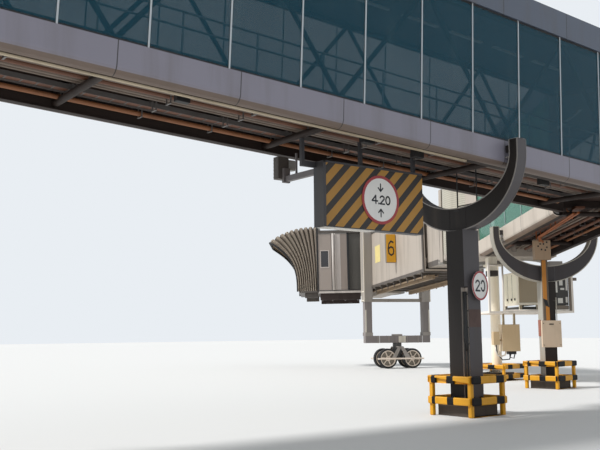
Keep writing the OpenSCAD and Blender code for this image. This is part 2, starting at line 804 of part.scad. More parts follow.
module outer_floor() {
    pin_foot = outer_bottom - cab_gap - cab_tongue_t;
    color(bridge_beige) on_tunnel() {
        box([outer_start, -outer_half, outer_bottom], [outer_end, outer_half, outer_bottom + floor_t]);
        for (y = [-inner_half + 100, inner_half - 100 - pad_w])
            box([outer_start + 200, y, outer_bottom + floor_t],
                [outer_start + 200 + pad_l, y + pad_w, inner_bottom - pad_gap]);
        box([outer_end - cab_tongue_l, -cab_tongue_w / 2, pin_foot], [outer_end, cab_tongue_w / 2, outer_bottom]);
        box([outer_end, -cab_tongue_w / 2, pin_foot],
            [cab_at + cab_boss_r, cab_tongue_w / 2, outer_bottom - cab_gap]);
        translate([cab_at, 0, outer_bottom - cab_gap]) cylinder(r = cab_boss_r, h = cab_gap - pad_gap);
        translate([cab_at, 0, outer_bottom - cab_gap]) cylinder(r = cab_pin_r, h = cab_gap + cab_floor_t - 10);
    }
}
module outer_walls() {
    low = outer_bottom + floor_t;
    top = outer_bottom + outer_h - wall_t;
    color(bridge_beige) on_tunnel() both_sides() {
        box([outer_start, outer_half - wall_t, low], [outer_end, outer_half, top]);
        box([outer_start + 200, inner_half + pad_gap, 0],
            [outer_start + 200 + pad_l, outer_half - wall_t, side_pad_h]);
    }
}
module outer_roof() {
    top = outer_bottom + outer_h;
    color(bridge_beige) on_tunnel()
        box([outer_start, -outer_half, top - wall_t], [outer_end, outer_half, top]);
}

// Lift: two housings on the outer tunnel, posts that slide in them, and a cross beam
lift_floor = rotunda_z - lift_at * sin(tunnel_fall);
module at_lift() {
    translate([rotunda_xy[0], rotunda_xy[1], 0]) rotate([0, 0, tunnel_heading])
        translate([lift_at * cos(tunnel_fall), 0, 0]) children();
}
module square_post(w, from, to) { box([-w / 2, -w / 2, from], [w / 2, w / 2, to]); }
module lift_housings() {
    bore = housing_w - 2 * housing_wall;
    inside = lift_half - housing_w / 2 + 1;
    color("#8d8985") at_lift() {
        both_sides() translate([0, lift_half, 0]) difference() {
            square_post(housing_w, housing_foot_z, lift_floor + housing_top);
            square_post(bore, housing_foot_z + guide_h, lift_floor + housing_top - housing_wall);
            square_post(lift_post_w + 2 * pad_gap, housing_foot_z - past, housing_foot_z + guide_h + past);
        }
        box([-tie_l / 2, -inside, housing_foot_z], [tie_l / 2, inside, housing_foot_z + tie_h]);
    }
}
module lift_carriage() {
    half = lift_half + lift_post_w / 2;
    top = beam_z + beam_h + lift_post_l;
    color("#6d6a67") at_lift() difference() {
        union() {
            both_sides() translate([0, lift_half, 0]) square_post(lift_post_w, beam_z + beam_h, top);
            box([-lift_post_w / 2, -half, beam_z], [lift_post_w / 2, half, beam_z + beam_h]);
        }
        translate([0, 0, beam_z - past]) cylinder(r = spindle_r + run_gap, h = beam_h / 2 + past);
    }
}

// Bogie: a spindle in the beam, and a frame between two pairs of wheels, bored for their axles
module bogie() {
    half = wheel_base / 2;
    color("#4c4a49") at_lift() difference() {
        union() {
            translate([0, 0, axle_z]) cylinder(r = spindle_r, h = beam_z + beam_h / 2 - 10 - axle_z);
            translate([0, 0, axle_z]) cylinder(r = spindle_r + 100, h = beam_z - bogie_top_gap - axle_z);
            box([-bogie_w / 2, -half - 180, axle_z - 130], [bogie_w / 2, half + 180, axle_z + 130]);
        }
        for (side = [-1, 1]) translate([-bogie_w / 2 - past, side * half, axle_z]) rotate([0, 90, 0])
            cylinder(r = axle_r + run_gap, h = bogie_w + 2 * past);
    }
}
// One axle with a wheel at each end
module wheel_pair(side) {
    reach = wheel_track / 2 + wheel_w / 2;
    color("#2b2b2c") at_lift() translate([0, side * wheel_base / 2, axle_z]) rotate([0, 90, 0]) {
        translate([0, 0, -reach + 60]) cylinder(r = axle_r, h = 2 * reach - 120);
        for (end = [-1, 1]) translate([0, 0, end * wheel_track / 2 - wheel_w / 2]) difference() {
            cylinder(r = wheel_r, h = wheel_w);
            translate([0, 0, end > 0 ? wheel_w - 60 : -past]) cylinder(r = 0.62 * wheel_r, h = 60 + past);
        }
    }
}
module wheel_left() { wheel_pair(1); }
module wheel_right() { wheel_pair(-1); }

// Cab: a round back about its turning axis and straight sides to its sill
module on_cab() { on_tunnel() translate([cab_at, 0, outer_bottom]) rotate([0, 0, cab_turn]) children(); }
module cab_plate(h) {
    cylinder(r = cab_r, h = h);
    box([0, -cab_r, 0], [cab_reach, cab_r, h]);
}
module cab_floor() {
    color("#8b8784") on_cab() difference() {
        cab_plate(cab_floor_t);
        translate([0, 0, -past]) cylinder(r = cab_pin_r + run_gap, h = cab_floor_t + 2 * past);
    }
}
module cab_roof() {
    color("#8f8b88") on_cab() translate([0, 0, cab_floor_t + cab_h]) {
        cab_plate(cab_roof_t);
        box([cab_reach - cab_header_l, -cab_side, 0], [cab_reach, cab_side, canopy_rise]);
    }
}
module cab_walls() {
    color("#9a9693") on_cab() translate([0, 0, cab_floor_t]) {
        sector(cab_side - cab_wall, cab_side, cab_curtain_from, 270, cab_h - seat);
        box([0, -cab_side, 0], [cab_reach, -cab_side + cab_wall, cab_h - seat]);
        box([cab_wall_from, cab_side - cab_wall, 0], [cab_reach, cab_side, cab_h - seat]);
    }
}
// Canopy: a folding arch round the cab's front, that reaches furthest at its top
canopy_steps = 10;
module canopy_side(low, high) {
    neck = high - canopy_drop;
    polygon(concat(
        [[cab_reach, low]],
        [for (i = [0 : canopy_steps]) let (h = i / canopy_steps)
            [cab_reach + canopy_foot + (canopy_reach - canopy_foot) * pow(h, 3), low + (neck - low) * h]],
        [for (i = [1 : canopy_steps]) let (u = 1 - i / canopy_steps)
            [cab_reach + canopy_reach * u, high - canopy_drop * pow(u, 2.5)]]));
}
module cab_canopy() {
    low = 80;
    high = cab_floor_t + cab_h + canopy_rise;
    color("#8c7d70") on_cab() difference() {
        translate([0, cab_side, 0]) rotate([90, 0, 0]) linear_extrude(2 * cab_side) canopy_side(low, high);
        translate([0, cab_side - canopy_t, -past]) rotate([90, 0, 0]) linear_extrude(2 * cab_side - 2 * canopy_t)
            translate([-past, 0]) canopy_room(low, high);
    }
}
// The room inside, under the canopy's own sloping top
module canopy_room(low, high) {
    polygon(concat(
        [[cab_reach, low - past]], [[cab_reach + canopy_reach + 2 * past, low - past]],
        [for (i = [0 : canopy_steps]) let (u = 1 - i / canopy_steps)
            [cab_reach + 2 * past * u + canopy_reach * u, high - canopy_t - canopy_drop * pow(u, 2.5)]]));
}

main_deck();
main_edge_beams();
main_cross_beams();
main_side_panels();
main_glass();
main_truss_near();
main_truss_far();
main_roof();
main_roof_panels();
branch_deck();
branch_edge_beams();
branch_cross_beams();
branch_side_panels();
branch_glass();
branch_truss_left();
branch_truss_right();
branch_roof();
branch_roof_panels();
corner_collar();
service_pipes();
end_yoke();
near_yoke();
branch_yoke();
end_column();
near_column();
branch_column();
plinths();
near_barrier();
branch_barrier();
rotunda_barrier();
clearance_sign();
sign_frame();
speed_sign();
column_boxes();
rotunda_column();
rotunda_floor();
rotunda_curtain();
rotunda_roof();
rotunda_portal();
service_platform();
air_units();
slew_frame();
inner_floor();
inner_walls();
inner_roof();
outer_floor();
outer_walls();
outer_roof();
lift_housings();
lift_carriage();
bogie();
wheel_left();
wheel_right();
cab_floor();
cab_walls();
cab_roof();
cab_canopy();
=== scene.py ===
# %% [markdown]
# # A jet bridge, dressed cell by cell
# The frame comes first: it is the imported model, in metres, with every piece where the CAD put it.
# Everything below either gives a frame piece its finish or adds a piece that rides on one of its bodies.

# %% Load the frame
import math
import bpy
import bmesh
from mathutils import Matrix, Vector


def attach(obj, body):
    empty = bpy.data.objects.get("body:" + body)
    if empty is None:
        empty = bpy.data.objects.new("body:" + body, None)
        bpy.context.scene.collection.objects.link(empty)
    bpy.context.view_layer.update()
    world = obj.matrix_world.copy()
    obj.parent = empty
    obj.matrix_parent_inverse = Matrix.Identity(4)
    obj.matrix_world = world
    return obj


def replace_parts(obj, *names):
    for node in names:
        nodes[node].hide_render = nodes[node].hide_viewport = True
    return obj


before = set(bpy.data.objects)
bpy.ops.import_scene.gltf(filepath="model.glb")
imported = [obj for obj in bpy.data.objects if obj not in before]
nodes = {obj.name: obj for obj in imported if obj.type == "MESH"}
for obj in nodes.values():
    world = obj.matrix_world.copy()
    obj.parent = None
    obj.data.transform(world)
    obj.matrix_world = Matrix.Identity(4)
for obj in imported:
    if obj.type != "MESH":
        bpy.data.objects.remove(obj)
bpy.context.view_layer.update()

# %% [markdown]
# ## The lines the bridge is built on
# A jet bridge is a chain of straight runs: the walkway, the branch past the corner, the tunnel and the cab.
# Each run has its own axes, so each gets a matrix: pieces are drawn along a plain X axis and then placed.
# That is simpler than placing every piece by hand, and one matrix moves all of a run's pieces together.

# %% Places and matrices of the runs
SILL = 6.5
MAIN_FALL = 2.72
CORNER_X = 6.69
BEND = 59
BRANCH_FALL = 4.29
ROTUNDA_AT = 11.44
BRANCH_YOKE_AT = 5.64
MODULE = 4.95
MODULE_X = -0.12
END_YOKE_X = MODULE_X - 3 * MODULE
TUNNEL_HEADING = 66
TUNNEL_FALL = 2.3
LIFT_AT = 12.9
CAB_AT = 16.66
CAB_TURN = 75
OUTER_LOW = -0.25


def turn(axis, degrees):
    return Matrix.Rotation(math.radians(degrees), 4, axis)


def move(x, y, z):
    return Matrix.Translation((x, y, z))


def drop(distance, degrees):
    return distance * math.tan(math.radians(degrees))


def past_corner(distance, height):
    a = math.radians(BEND)
    return Vector((CORNER_X + distance * math.cos(a), distance * math.sin(a), height))


corner_sill = SILL - drop(CORNER_X, MAIN_FALL)
rotunda_spot = past_corner(ROTUNDA_AT, corner_sill - drop(ROTUNDA_AT, BRANCH_FALL))
branch_yoke_spot = past_corner(BRANCH_YOKE_AT, 0)
branch_yoke_sill = corner_sill - drop(BRANCH_YOKE_AT, BRANCH_FALL)
tunnel_tilt = math.radians(TUNNEL_FALL)
lift_floor = rotunda_spot.z - LIFT_AT * math.sin(tunnel_tilt)

GROUND = Matrix.Identity(4)
MAIN = move(0, 0, SILL) @ turn("Y", MAIN_FALL)
END_COLUMN = move(END_YOKE_X, 0, 0)
BRANCH = move(CORNER_X, 0, corner_sill) @ turn("Z", BEND) @ turn("Y", BRANCH_FALL)
BRANCH_COLUMN = move(*branch_yoke_spot) @ turn("Z", BEND)
ROTUNDA_FOOT = move(rotunda_spot.x, rotunda_spot.y, 0)
PLATFORM = ROTUNDA_FOOT @ turn("Z", BEND + 180)
LEVEL_TUNNEL = move(*rotunda_spot) @ turn("Z", TUNNEL_HEADING)
TUNNEL = LEVEL_TUNNEL @ turn("Y", TUNNEL_FALL)
LIFT = ROTUNDA_FOOT @ turn("Z", TUNNEL_HEADING) @ move(LIFT_AT * math.cos(tunnel_tilt), 0, 0)
CAB = TUNNEL @ move(CAB_AT, 0, OUTER_LOW) @ turn("Z", CAB_TURN)

# A place is a matrix and the body that the piece rides on
WALKWAY = "fixed_walkway"
ON_GROUND = (GROUND, WALKWAY)
ON_MAIN = (MAIN, WALKWAY)
ON_BRANCH = (BRANCH, WALKWAY)
ON_BRANCH_COLUMN = (BRANCH_COLUMN, WALKWAY)
ON_PLATFORM = (PLATFORM, WALKWAY)
ON_TURNING_FRAME = (LEVEL_TUNNEL, "turning_frame")
ON_INNER = (TUNNEL, "inner_tunnel")
ON_OUTER = (TUNNEL, "outer_tunnel")
ON_HOUSINGS = (LIFT, "outer_tunnel")
ON_CARRIAGE = (LIFT, "carriage")
ON_BOGIE = (LIFT, "steered_bogie")
ON_CAB = (CAB, "cab")
SIDES = (-1, 1)
print("rotunda at", [round(c, 2) for c in rotunda_spot], "corner sill", round(corner_sill, 3))

# %% [markdown]
# ## The camera
# The photo was taken from the apron, about head height, with a 51 mm lens on a full-frame sensor.
# The heading, tilt and roll come from lining up the walkway's edges, the columns and the horizon.
# The camera is built from its three axes, which is exact, where Euler angles are easy to get wrong.

# %% Camera
camera_data = bpy.data.cameras.new("photo_camera")
camera_data.lens = 51.0
camera_data.sensor_width = 36.0
camera_data.clip_end = 600.0
camera = bpy.data.objects.new("photo_camera", camera_data)
bpy.context.scene.collection.objects.link(camera)
heading = math.radians(53.4)
pitch = 0.127
roll = -0.009
forward = Vector((math.cos(heading) * math.cos(pitch), math.sin(heading) * math.cos(pitch), math.sin(pitch)))
right = Vector((math.sin(heading), -math.cos(heading), 0))
up = right.cross(forward)
rolled_right = right * math.cos(roll) + up * math.sin(roll)
rolled_up = up * math.cos(roll) - right * math.sin(roll)
axes = Matrix((rolled_right, rolled_up, -forward)).transposed().to_4x4()
camera.matrix_world = move(-15.85, -14.55, 2.0) @ axes
bpy.context.scene.camera = camera
bpy.context.scene.view_settings.view_transform = "Standard"
print("camera looks along", [round(c, 3) for c in forward])

# %% [markdown]
# ## One small class for node maths
# Shader and geometry trees are both nodes joined by links. Writing them as Python sums keeps them short:
# `1 - mask * 0.5` adds two Math nodes. `Tree.node` makes any other node from its type, settings and inputs.


# %% The socket class and the tree class
def operator(operation, swapped=False):
    def method(self, other):
        return self.maths(operation, *((other, self) if swapped else (self, other)))
    return method


class Wire:
    def __init__(self, tree, socket):
        self.tree = tree
        self.socket = socket

    def maths(self, operation, *values):
        return self.tree.node("ShaderNodeMath", {"operation": operation}, dict(enumerate(values)))

    __add__ = operator("ADD")
    __sub__ = operator("SUBTRACT")
    __rsub__ = operator("SUBTRACT", swapped=True)
    __mul__ = operator("MULTIPLY")
    __truediv__ = operator("DIVIDE")
    __gt__ = operator("GREATER_THAN")
    __lt__ = operator("LESS_THAN")
    larger = operator("MAXIMUM")
    smaller = operator("MINIMUM")

    def __abs__(self):
        return self.maths("ABSOLUTE", self)

    def fraction(self):
        return self.maths("FRACT", self)

    def clamped(self):
        return self.larger(0.0).smaller(1.0)

    def out(self, name):
        return Wire(self.tree, self.socket.node.outputs[name])


class Tree:
    def __init__(self, node_tree):
        self.node_tree = node_tree

    def node(self, kind, settings=None, inputs=None):
        made = self.node_tree.nodes.new(kind)
        for key, value in (settings or {}).items():
            setattr(made, key, value)
        for key, value in (inputs or {}).items():
            if isinstance(value, Wire):
                self.node_tree.links.new(value.socket, made.inputs[key])
            else:
                made.inputs[key].default_value = value
        shown = [socket for socket in made.outputs if socket.enabled]
        return Wire(self, shown[0]) if shown else made


print("socket maths ready")

# %% [markdown]
# ## Colours
# Paint colours are easiest to write as the web's hex codes, but a shader wants linear light.
# One helper turns the first into the second, so a painted panel renders about as its code reads.


# %% Colour helpers
def paint(code, share=1.0):
    parts = [int(code[i : i + 2], 16) / 255 for i in (1, 3, 5)]
    linear = [c / 12.92 if c <= 0.04045 else ((c + 0.055) / 1.055) ** 2.4 for c in parts]
    return (*(c * share for c in linear), 1.0)


def mix(tree, factor, first, second):
    # Inputs 6 and 7 are the Mix node's two colours, and output 2 is their mix
    mixer = tree.node("ShaderNodeMix", {"data_type": "RGBA"}, {0: factor, 6: first, 7: second})
    return mixer.out(2)


print("paint sample", [round(c, 3) for c in paint("#b3b0bb")])

# %% [markdown]
# ## Outdoor paint
# Every painted surface of a real bridge has stood in the rain for years. The colour drifts a little over
# metres, dirt runs down from edges in narrow streaks, and the film has a faint orange-peel texture.
# One function lays these over any base colour, so that the finishes differ in numbers and not in method.
# It can also paint shade: a darker colour on the faces turned one way, and darker hollows between ribs.


# %% The weathered finish
def new_material(name):
    material = bpy.data.materials.new(name)
    material.use_nodes = True
    material.node_tree.nodes.clear()
    return material, Tree(material.node_tree)


def surface(tree, values):
    shader = tree.node("ShaderNodeBsdfPrincipled", None, values)
    tree.node("ShaderNodeOutputMaterial", None, {"Surface": shader})


def place_of(tree):
    return tree.node("ShaderNodeTexCoord").out("Object")


def along(tree, vector, direction, start=0.0):
    dot = tree.node("ShaderNodeVectorMath", {"operation": "DOT_PRODUCT"}, {0: vector, 1: direction})
    return dot.out("Value") - start


def cloud(tree, place, scale, detail=3.0, stretch=(1, 1, 1)):
    stretched = tree.node("ShaderNodeMapping", None, {"Vector": place, "Scale": stretch})
    return tree.node("ShaderNodeTexNoise", None, {
        "Vector": stretched, "Scale": scale, "Detail": detail, "Roughness": 0.6})


def seam(distance, pitch, width):
    # 1 on a thin line at each whole number of pitches, 0 elsewhere
    offset = abs((distance / pitch + 0.5).fraction() - 0.5) * pitch
    return offset < width / 2


def weathered(name, code, dirt="#5b5348", rough=0.5, metallic=0.0, grime=0.35, streaks=True, coat=0.0,
              lines=(), line_code="#2a2826", bump=0.12, colour=None, ribs=None, side=None, gloss=0.5):
    # lines: (direction, start, pitch, width); ribs: (direction, pitch, depth), with painted shade in their
    # hollows; side: (direction, code), a painted shade on the faces turned that way
    material, tree = new_material(name)
    place = place_of(tree)
    drift = cloud(tree, place, 0.45, 3)
    fine = cloud(tree, place, 22, 4)
    base = colour(tree, place) if colour else paint(code)
    shade = mix(tree, drift * 0.55, base, paint(code, 0.80))
    runs = cloud(tree, place, 2.2, 4, (1, 1, 0.10)) if streaks else cloud(tree, place, 1.4, 4)
    # Faces turned along the side's direction take the side's colour: painted shade on that side of the piece
    if side:
        direction, shade_side_code = side
        towards = along(tree, tree.node("ShaderNodeNewGeometry").out("Normal"), direction)
        shade = mix(tree, ((towards - 0.55) * 4.0).clamped(), shade, paint(shade_side_code))
    soiled = ((runs - 0.50) * 4.0).clamped() * grime
    shade = mix(tree, soiled, shade, paint(dirt))
    height = fine * 0.5
    for direction, start, pitch_m, width in lines:
        line = seam(along(tree, place, direction, start), pitch_m, width)
        shade = mix(tree, line * 0.85, shade, paint(line_code))
        height = height - line * 2.0
    if ribs:
        direction, pitch_m, depth = ribs
        wave = abs((along(tree, place, direction) / pitch_m).fraction() - 0.5)
        height = height + wave * depth
        # The hollows between ribs are darkened: painted shade in the grooves
        shade = mix(tree, ((0.14 - wave) * 9.0).clamped() * 0.35, shade, paint(line_code))
    normal = tree.node("ShaderNodeBump", None, {"Strength": bump, "Distance": 0.02, "Height": height})
    surface(tree, {
        "Base Color": shade, "Roughness": soiled * 0.3 + fine * 0.12 + (rough - 0.06),
        "Metallic": metallic, "Coat Weight": coat, "Normal": normal, "Specular IOR Level": gloss})
    return material


def axis_of(matrix):
    return tuple(matrix.col[0].xyz)


def start_of(matrix, local_x):
    return matrix.translation.dot(matrix.col[0].xyz) + local_x


print("weathered finish ready")

# %% [markdown]
# ## Finishes for the frame's own pieces
# Each CAD piece keeps its shape and gets a finish by name. Panels get their real joints as dark lines
# with a small step in the bump, because a painted-on joint costs nothing and never leaves its panel.

# %% Walkway finishes
BAY = 1.65
PANEL_PITCH = 1.5 * BAY
main_x = axis_of(MAIN)
branch_x = axis_of(BRANCH)
main_start = start_of(MAIN, MODULE_X)
branch_start = start_of(BRANCH, 1.25)
downwards = (0.0, 0.0, -1.5)
finish = {}


def finish_with(material, *names):
    for name in names:
        finish[name] = material
    return material


# Faces turned down take a darker brown: painted shade under the panels' lower edge. The lilac is darkened
# towards the panels' shaded look: partly painted shade.
finish_with(weathered(
    "lilac side panel", "#86838f", grime=0.30, rough=0.42, side=(downwards, "#6e5f56"),
    lines=[(main_x, main_start, PANEL_PITCH, 0.022)]), "main_side_panels")
finish_with(weathered(
    "cream side panel", "#c2b6a8", grime=0.30, rough=0.42, side=(downwards, "#77614f"),
    lines=[(branch_x, branch_start, PANEL_PITCH, 0.022)]), "branch_side_panels")
finish_with(weathered(
    "grey roof panel", "#535b6a", grime=0.35, rough=0.45,
    lines=[(main_x, main_start, PANEL_PITCH, 0.025)]), "main_roof", "main_roof_panels")
finish_with(weathered(
    "branch roof panel", "#6c7480", grime=0.35, rough=0.45,
    lines=[(branch_x, branch_start, PANEL_PITCH, 0.025)]), "branch_roof", "branch_roof_panels")
finish_with(weathered("collar grey", "#7d7a7a", grime=0.3, rough=0.45), "corner_collar")
finish_with(weathered(
    "brown primer", "#2e2420", dirt="#1c1816", rough=0.62, grime=0.5, streaks=False, bump=0.25, gloss=0.25),
    "main_edge_beams", "main_cross_beams", "branch_edge_beams", "branch_cross_beams")
finish_with(weathered(
    "pink brown deck", "#44352f", dirt="#231b18", rough=0.65, grime=0.5, streaks=False, gloss=0.25,
    lines=[(main_x, start_of(MAIN, 0.3), BAY, 0.02)]), "main_deck", "branch_deck")
# Faces turned towards -X are painted near-black: painted shade where the walkway's shadow falls on them
slate = finish_with(weathered(
    "dark slate paint", "#595658", dirt="#5b524a", rough=0.5, grime=0.3, gloss=0.2,
    side=((-1.0, 0.0, 0.0), "#25211f")), "end_yoke", "near_yoke", "end_column", "near_column")
finish_with(weathered(
    "truss slate", "#1f2a2e", dirt="#2c3538", rough=0.5, grime=0.2, streaks=False, gloss=0.25),
    "main_truss_near", "main_truss_far", "branch_truss_left", "branch_truss_right")
opposite_branch = tuple(-c for c in branch_x)
# Faces turned back along the branch are painted dark: painted shade on the yoke's and column's front
BRANCH_STEEL = (("branch_yoke", "#a09a8e", "#454142"), ("branch_column", "#a8a296", "#2a2320"))
for name, code, front_shade_code in BRANCH_STEEL:
    finish_with(weathered(
        name.replace("_", " ") + " steel", code, dirt="#3f342c", rough=0.5, grime=0.35, gloss=0.25,
        side=(opposite_branch, front_shade_code)), name)
print("walkway finishes:", len(finish))

# %% [markdown]
# ## Glass
# The walls are tinted safety glass. From outside it shows some sky on its face and, through it, the truss
# and the far wall. Partly transparent, smooth paint gives both, and it exports cleanly, where true
# refraction would turn the far wall black and slow the render.


# %% Tinted glass
def tinted_glass(name, code, alpha):
    material, tree = new_material(name)
    place = place_of(tree)
    drift = cloud(tree, place, 0.30, 2)
    dust = cloud(tree, place, 3.0, 5, (1, 1, 0.25))
    base = mix(tree, drift, paint(code), paint(code, 0.72))
    dusty = ((dust - 0.55) * 3.0).clamped()
    surface(tree, {
        "Base Color": mix(tree, dusty * 0.10, base, paint("#9fb0aa")),
        "Roughness": dusty * 0.25 + 0.04,
        "Alpha": dusty * 0.06 + drift * 0.10 + alpha,
        "Specular IOR Level": 0.22})
    return material


finish["main_glass"] = tinted_glass("teal wall glass", "#0f4b5e", 0.50)
finish["branch_glass"] = tinted_glass("branch wall glass", "#5a8f7c", 0.58)
print("glass ready")

# %% [markdown]
# ## Concrete, tyres, stripes and the rest
# The plinths are cast concrete, the bridge's walls are painted sheet, and the rotunda's curtain is slats.
# All of them reuse the weathered finish with other colours and ribs. Two kinds of colour rule go on top:
# one changes at a height, where a cabinet ends, and one runs in slanted stripes for the clearance sign.
# The stripes are a rule of x minus z, so they run at 45 degrees and keep their width in any render.


# %% Colour rules
def by_height(*steps):
    # Steps of (height, code): each colour holds from its height upwards
    def colour(tree, place):
        height = along(tree, place, (0, 0, 1))
        shade = paint(steps[0][1])
        for level, code in steps[1:]:
            shade = mix(tree, height > level, shade, paint(code))
        return shade
    return colour


def slanted(code, other, pitch_m, share, shift):
    def colour(tree, place):
        run = along(tree, place, (1, 0, -1), shift) / pitch_m
        return mix(tree, run.fraction() > share, paint(code), paint(other))
    return colour


print("colour rules ready")

# %% Other frame finishes
BOX_FOOT = branch_yoke_sill - 1.23
# The concrete's colour is darkened towards the plinths' shaded look: partly painted shade
finish_with(weathered("cast concrete", "#50463d", dirt="#3a332c", rough=0.85, grime=0.6, bump=0.5), "plinths")
dark_steel = finish_with(weathered("dark steel", "#38373a", rough=0.5, grime=0.25), "sign_frame")
white_disc = finish_with(weathered("white disc", "#e8e6e2", grime=0.12, rough=0.4), "speed_sign")
finish_with(weathered(
    "column box paint", "#c2ac90", dirt="#7a6750", grime=0.35, rough=0.5,
    colour=by_height((0.0, "#dbc3a8"), (2.382, "#2f2823"), (BOX_FOOT, "#a5876a"))), "column_boxes")
# Faces turned along the platform's axis take a darker cream: painted shade on the units' fronts
finish_with(weathered(
    "unit paint", "#dcd3b8", dirt="#8a7d66", grime=0.3, rough=0.5, side=(axis_of(PLATFORM), "#a09178"),
    colour=by_height((0.0, "#e8cfa8"), (2.4, "#fffae4"))), "air_units")
finish_with(weathered(
    "pipe orange brown", "#6a432f", dirt="#33241d", rough=0.55, grime=0.45, streaks=False), "service_pipes")
column_cream = finish_with(weathered("column cream", "#fff5e0", grime=0.3, rough=0.5), "rotunda_column")
white_steel = finish_with(weathered(
    "white platform steel", "#f4ebdf", dirt="#8d7f6c", grime=0.35, rough=0.5), "service_platform")
bridge_beige = finish_with(
    weathered("bridge beige", "#b0a599", grime=0.35, rough=0.5),
    "rotunda_floor", "rotunda_roof", "rotunda_portal", "inner_floor", "outer_floor",
    "inner_walls", "outer_walls", "inner_roof", "outer_roof")
# The ribs darken the hollows between the slats: painted shade in the grooves
slat_finish = finish_with(weathered(
    "slat curtain", "#b8b2a2", grime=0.3, rough=0.45, bump=0.5, ribs=((0.0, 0.0, 1.0), 0.09, 1.6)),
    "rotunda_curtain")
finish_with(weathered("turning frame grey", "#77736d", grime=0.3), "slew_frame")
lift_grey = finish_with(weathered("lift grey", "#a29a92", grime=0.35), "lift_housings")
finish_with(weathered("carriage grey", "#877f7c", grime=0.4), "lift_carriage")
finish_with(weathered("bogie dark", "#4a4846", grime=0.45), "bogie")
rubber = finish_with(weathered(
    "tyre rubber", "#262627", dirt="#5c564d", rough=0.85, grime=0.5, streaks=False, bump=0.3),
    "wheel_left", "wheel_right")
finish_with(weathered("cab panel", "#97938f", grime=0.3), "cab_walls", "cab_roof", "cab_canopy")
finish_with(weathered("cab floor", "#4c4542", grime=0.4), "cab_floor")
finish_with(weathered(
    "warning stripes", "#413522", dirt="#3a2f1e", rough=0.5, grime=0.2, bump=0.05,
    colour=slanted("#c18d38", "#17161c", 0.445, 0.55, -0.26)), "clearance_sign")

for name, material in finish.items():
    nodes[name].data.materials.clear()
    nodes[name].data.materials.append(material)
bare = [name for name in nodes if name not in finish]
print("finished", len(finish), "pieces, left for later:", bare)

# %% [markdown]
# ## Drawing pieces from blocks, tubes and turned profiles
# Most trim is folded sheet, bar or pipe. Three shapes cover most of it: a block with softened edges, a
# round tube along a line of points, and a profile turned about an axis. All are drawn in a run's own
# coordinates, and `finished` moves the mesh into place, so that the object itself stays at the origin.


# %% Shapes
def block(work, corner, opposite, soft=0.0):
    made = bmesh.ops.create_cube(work, size=1.0)["verts"]
    size = [abs(b - a) for a, b in zip(corner, opposite)]
    middle = [(a + b) / 2 for a, b in zip(corner, opposite)]
    for vertex in made:
        vertex.co = Vector([c * s + m for c, s, m in zip(vertex.co, size, middle)])
    if soft:
        edges = {edge for vertex in made for edge in vertex.link_edges}
        bmesh.ops.bevel(work, geom=list(edges), offset=soft, segments=2, profile=0.5, affect="EDGES")


def tube(work, points, radius, sides=10):
    points = [Vector(p) for p in points]
    rings = []
    side = None
    for i, point in enumerate(points):
        ahead = points[min(i + 1, len(points) - 1)] - points[max(i - 1, 0)]
        ahead.normalize()
        if side is None:
            side = ahead.orthogonal().normalized()
        side = (side - ahead * side.dot(ahead)).normalized()
        other = ahead.cross(side)
        rings.append([
            work.verts.new(point + (side * math.cos(a) + other * math.sin(a)) * radius)
            for a in (2 * math.pi * k / sides for k in range(sides))
        ])
    for first, second in zip(rings, rings[1:]):
        for k in range(sides):
            work.faces.new((first[k], first[(k + 1) % sides], second[(k + 1) % sides], second[k]))
    work.faces.new(list(reversed(rings[0])))
    work.faces.new(rings[-1])


def turned(work, profile, steps=48):
    # profile: closed loop of (radius, height) points, turned about Z
    rings = []
    for a in (math.radians(360.0 * i / steps) for i in range(steps)):
        rings.append([work.verts.new((r * math.cos(a), r * math.sin(a), z)) for r, z in profile])
    size = len(profile)
    for first, second in zip(rings, rings[1:] + rings[:1]):
        for k in range(size):
            work.faces.new((first[k], second[k], second[(k + 1) % size], first[(k + 1) % size]))


def rod(work, radius, length, segments):
    bmesh.ops.create_cone(
        work, cap_ends=True, segments=segments, radius1=radius, radius2=radius, depth=length)


def ribbon(work, first, second, low, high):
    # A band between two outlines in the YZ plane, from x low to x high
    a, b, c, d = [
        [work.verts.new((x, y, z)) for y, z in line] for x in (low, high) for line in (first, second)]
    for i in range(len(first) - 1):
        for one, two in ((a, b), (b, d), (d, c), (c, a)):
            work.faces.new((one[i], one[i + 1], two[i + 1], two[i]))
    for i in (0, len(first) - 1):
        work.faces.new((a[i], b[i], d[i], c[i]))


def moved(work, matrix, shape, *values):
    # Draws a shape, and moves what it drew
    start = len(work.verts)
    shape(work, *values)
    work.verts.ensure_lookup_table()
    bmesh.ops.transform(work, matrix=matrix, verts=work.verts[start:])


print("shapes ready")


# %% Pieces
def finished(name, mesh, place, material, smooth=False):
    matrix, body = place
    mesh.transform(matrix)
    if not mesh.materials:
        mesh.materials.append(material)
    if smooth:
        for face in mesh.polygons:
            face.use_smooth = True
    piece = bpy.data.objects.new(name, mesh)
    bpy.context.scene.collection.objects.link(piece)
    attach(piece, body)
    return piece


def built(draw, recalculate=True):
    work = bmesh.new()
    draw(work)
    if recalculate:
        bmesh.ops.recalc_face_normals(work, faces=work.faces)
    mesh = bpy.data.meshes.new("piece")
    work.to_mesh(mesh)
    work.free()
    return mesh


def draw_piece(name, place, material, draw, smooth=False):
    return finished(name, built(draw), place, material, smooth)


def blocks(name, place, material, *parts):
    # Each part: two opposite corners, and how far the edges are softened
    return draw_piece(name, place, material, lambda work: [block(work, *part) for part in parts])


def tubes(name, place, material, *parts, smooth=False):
    # Each part: a line of points, a radius and a number of sides
    return draw_piece(name, place, material, lambda work: [tube(work, *part) for part in parts], smooth)


def ribbons(name, place, material, *parts):
    # Each part: two outlines in the YZ plane, and the x at both faces
    return draw_piece(name, place, material, lambda work: [ribbon(work, *part) for part in parts])


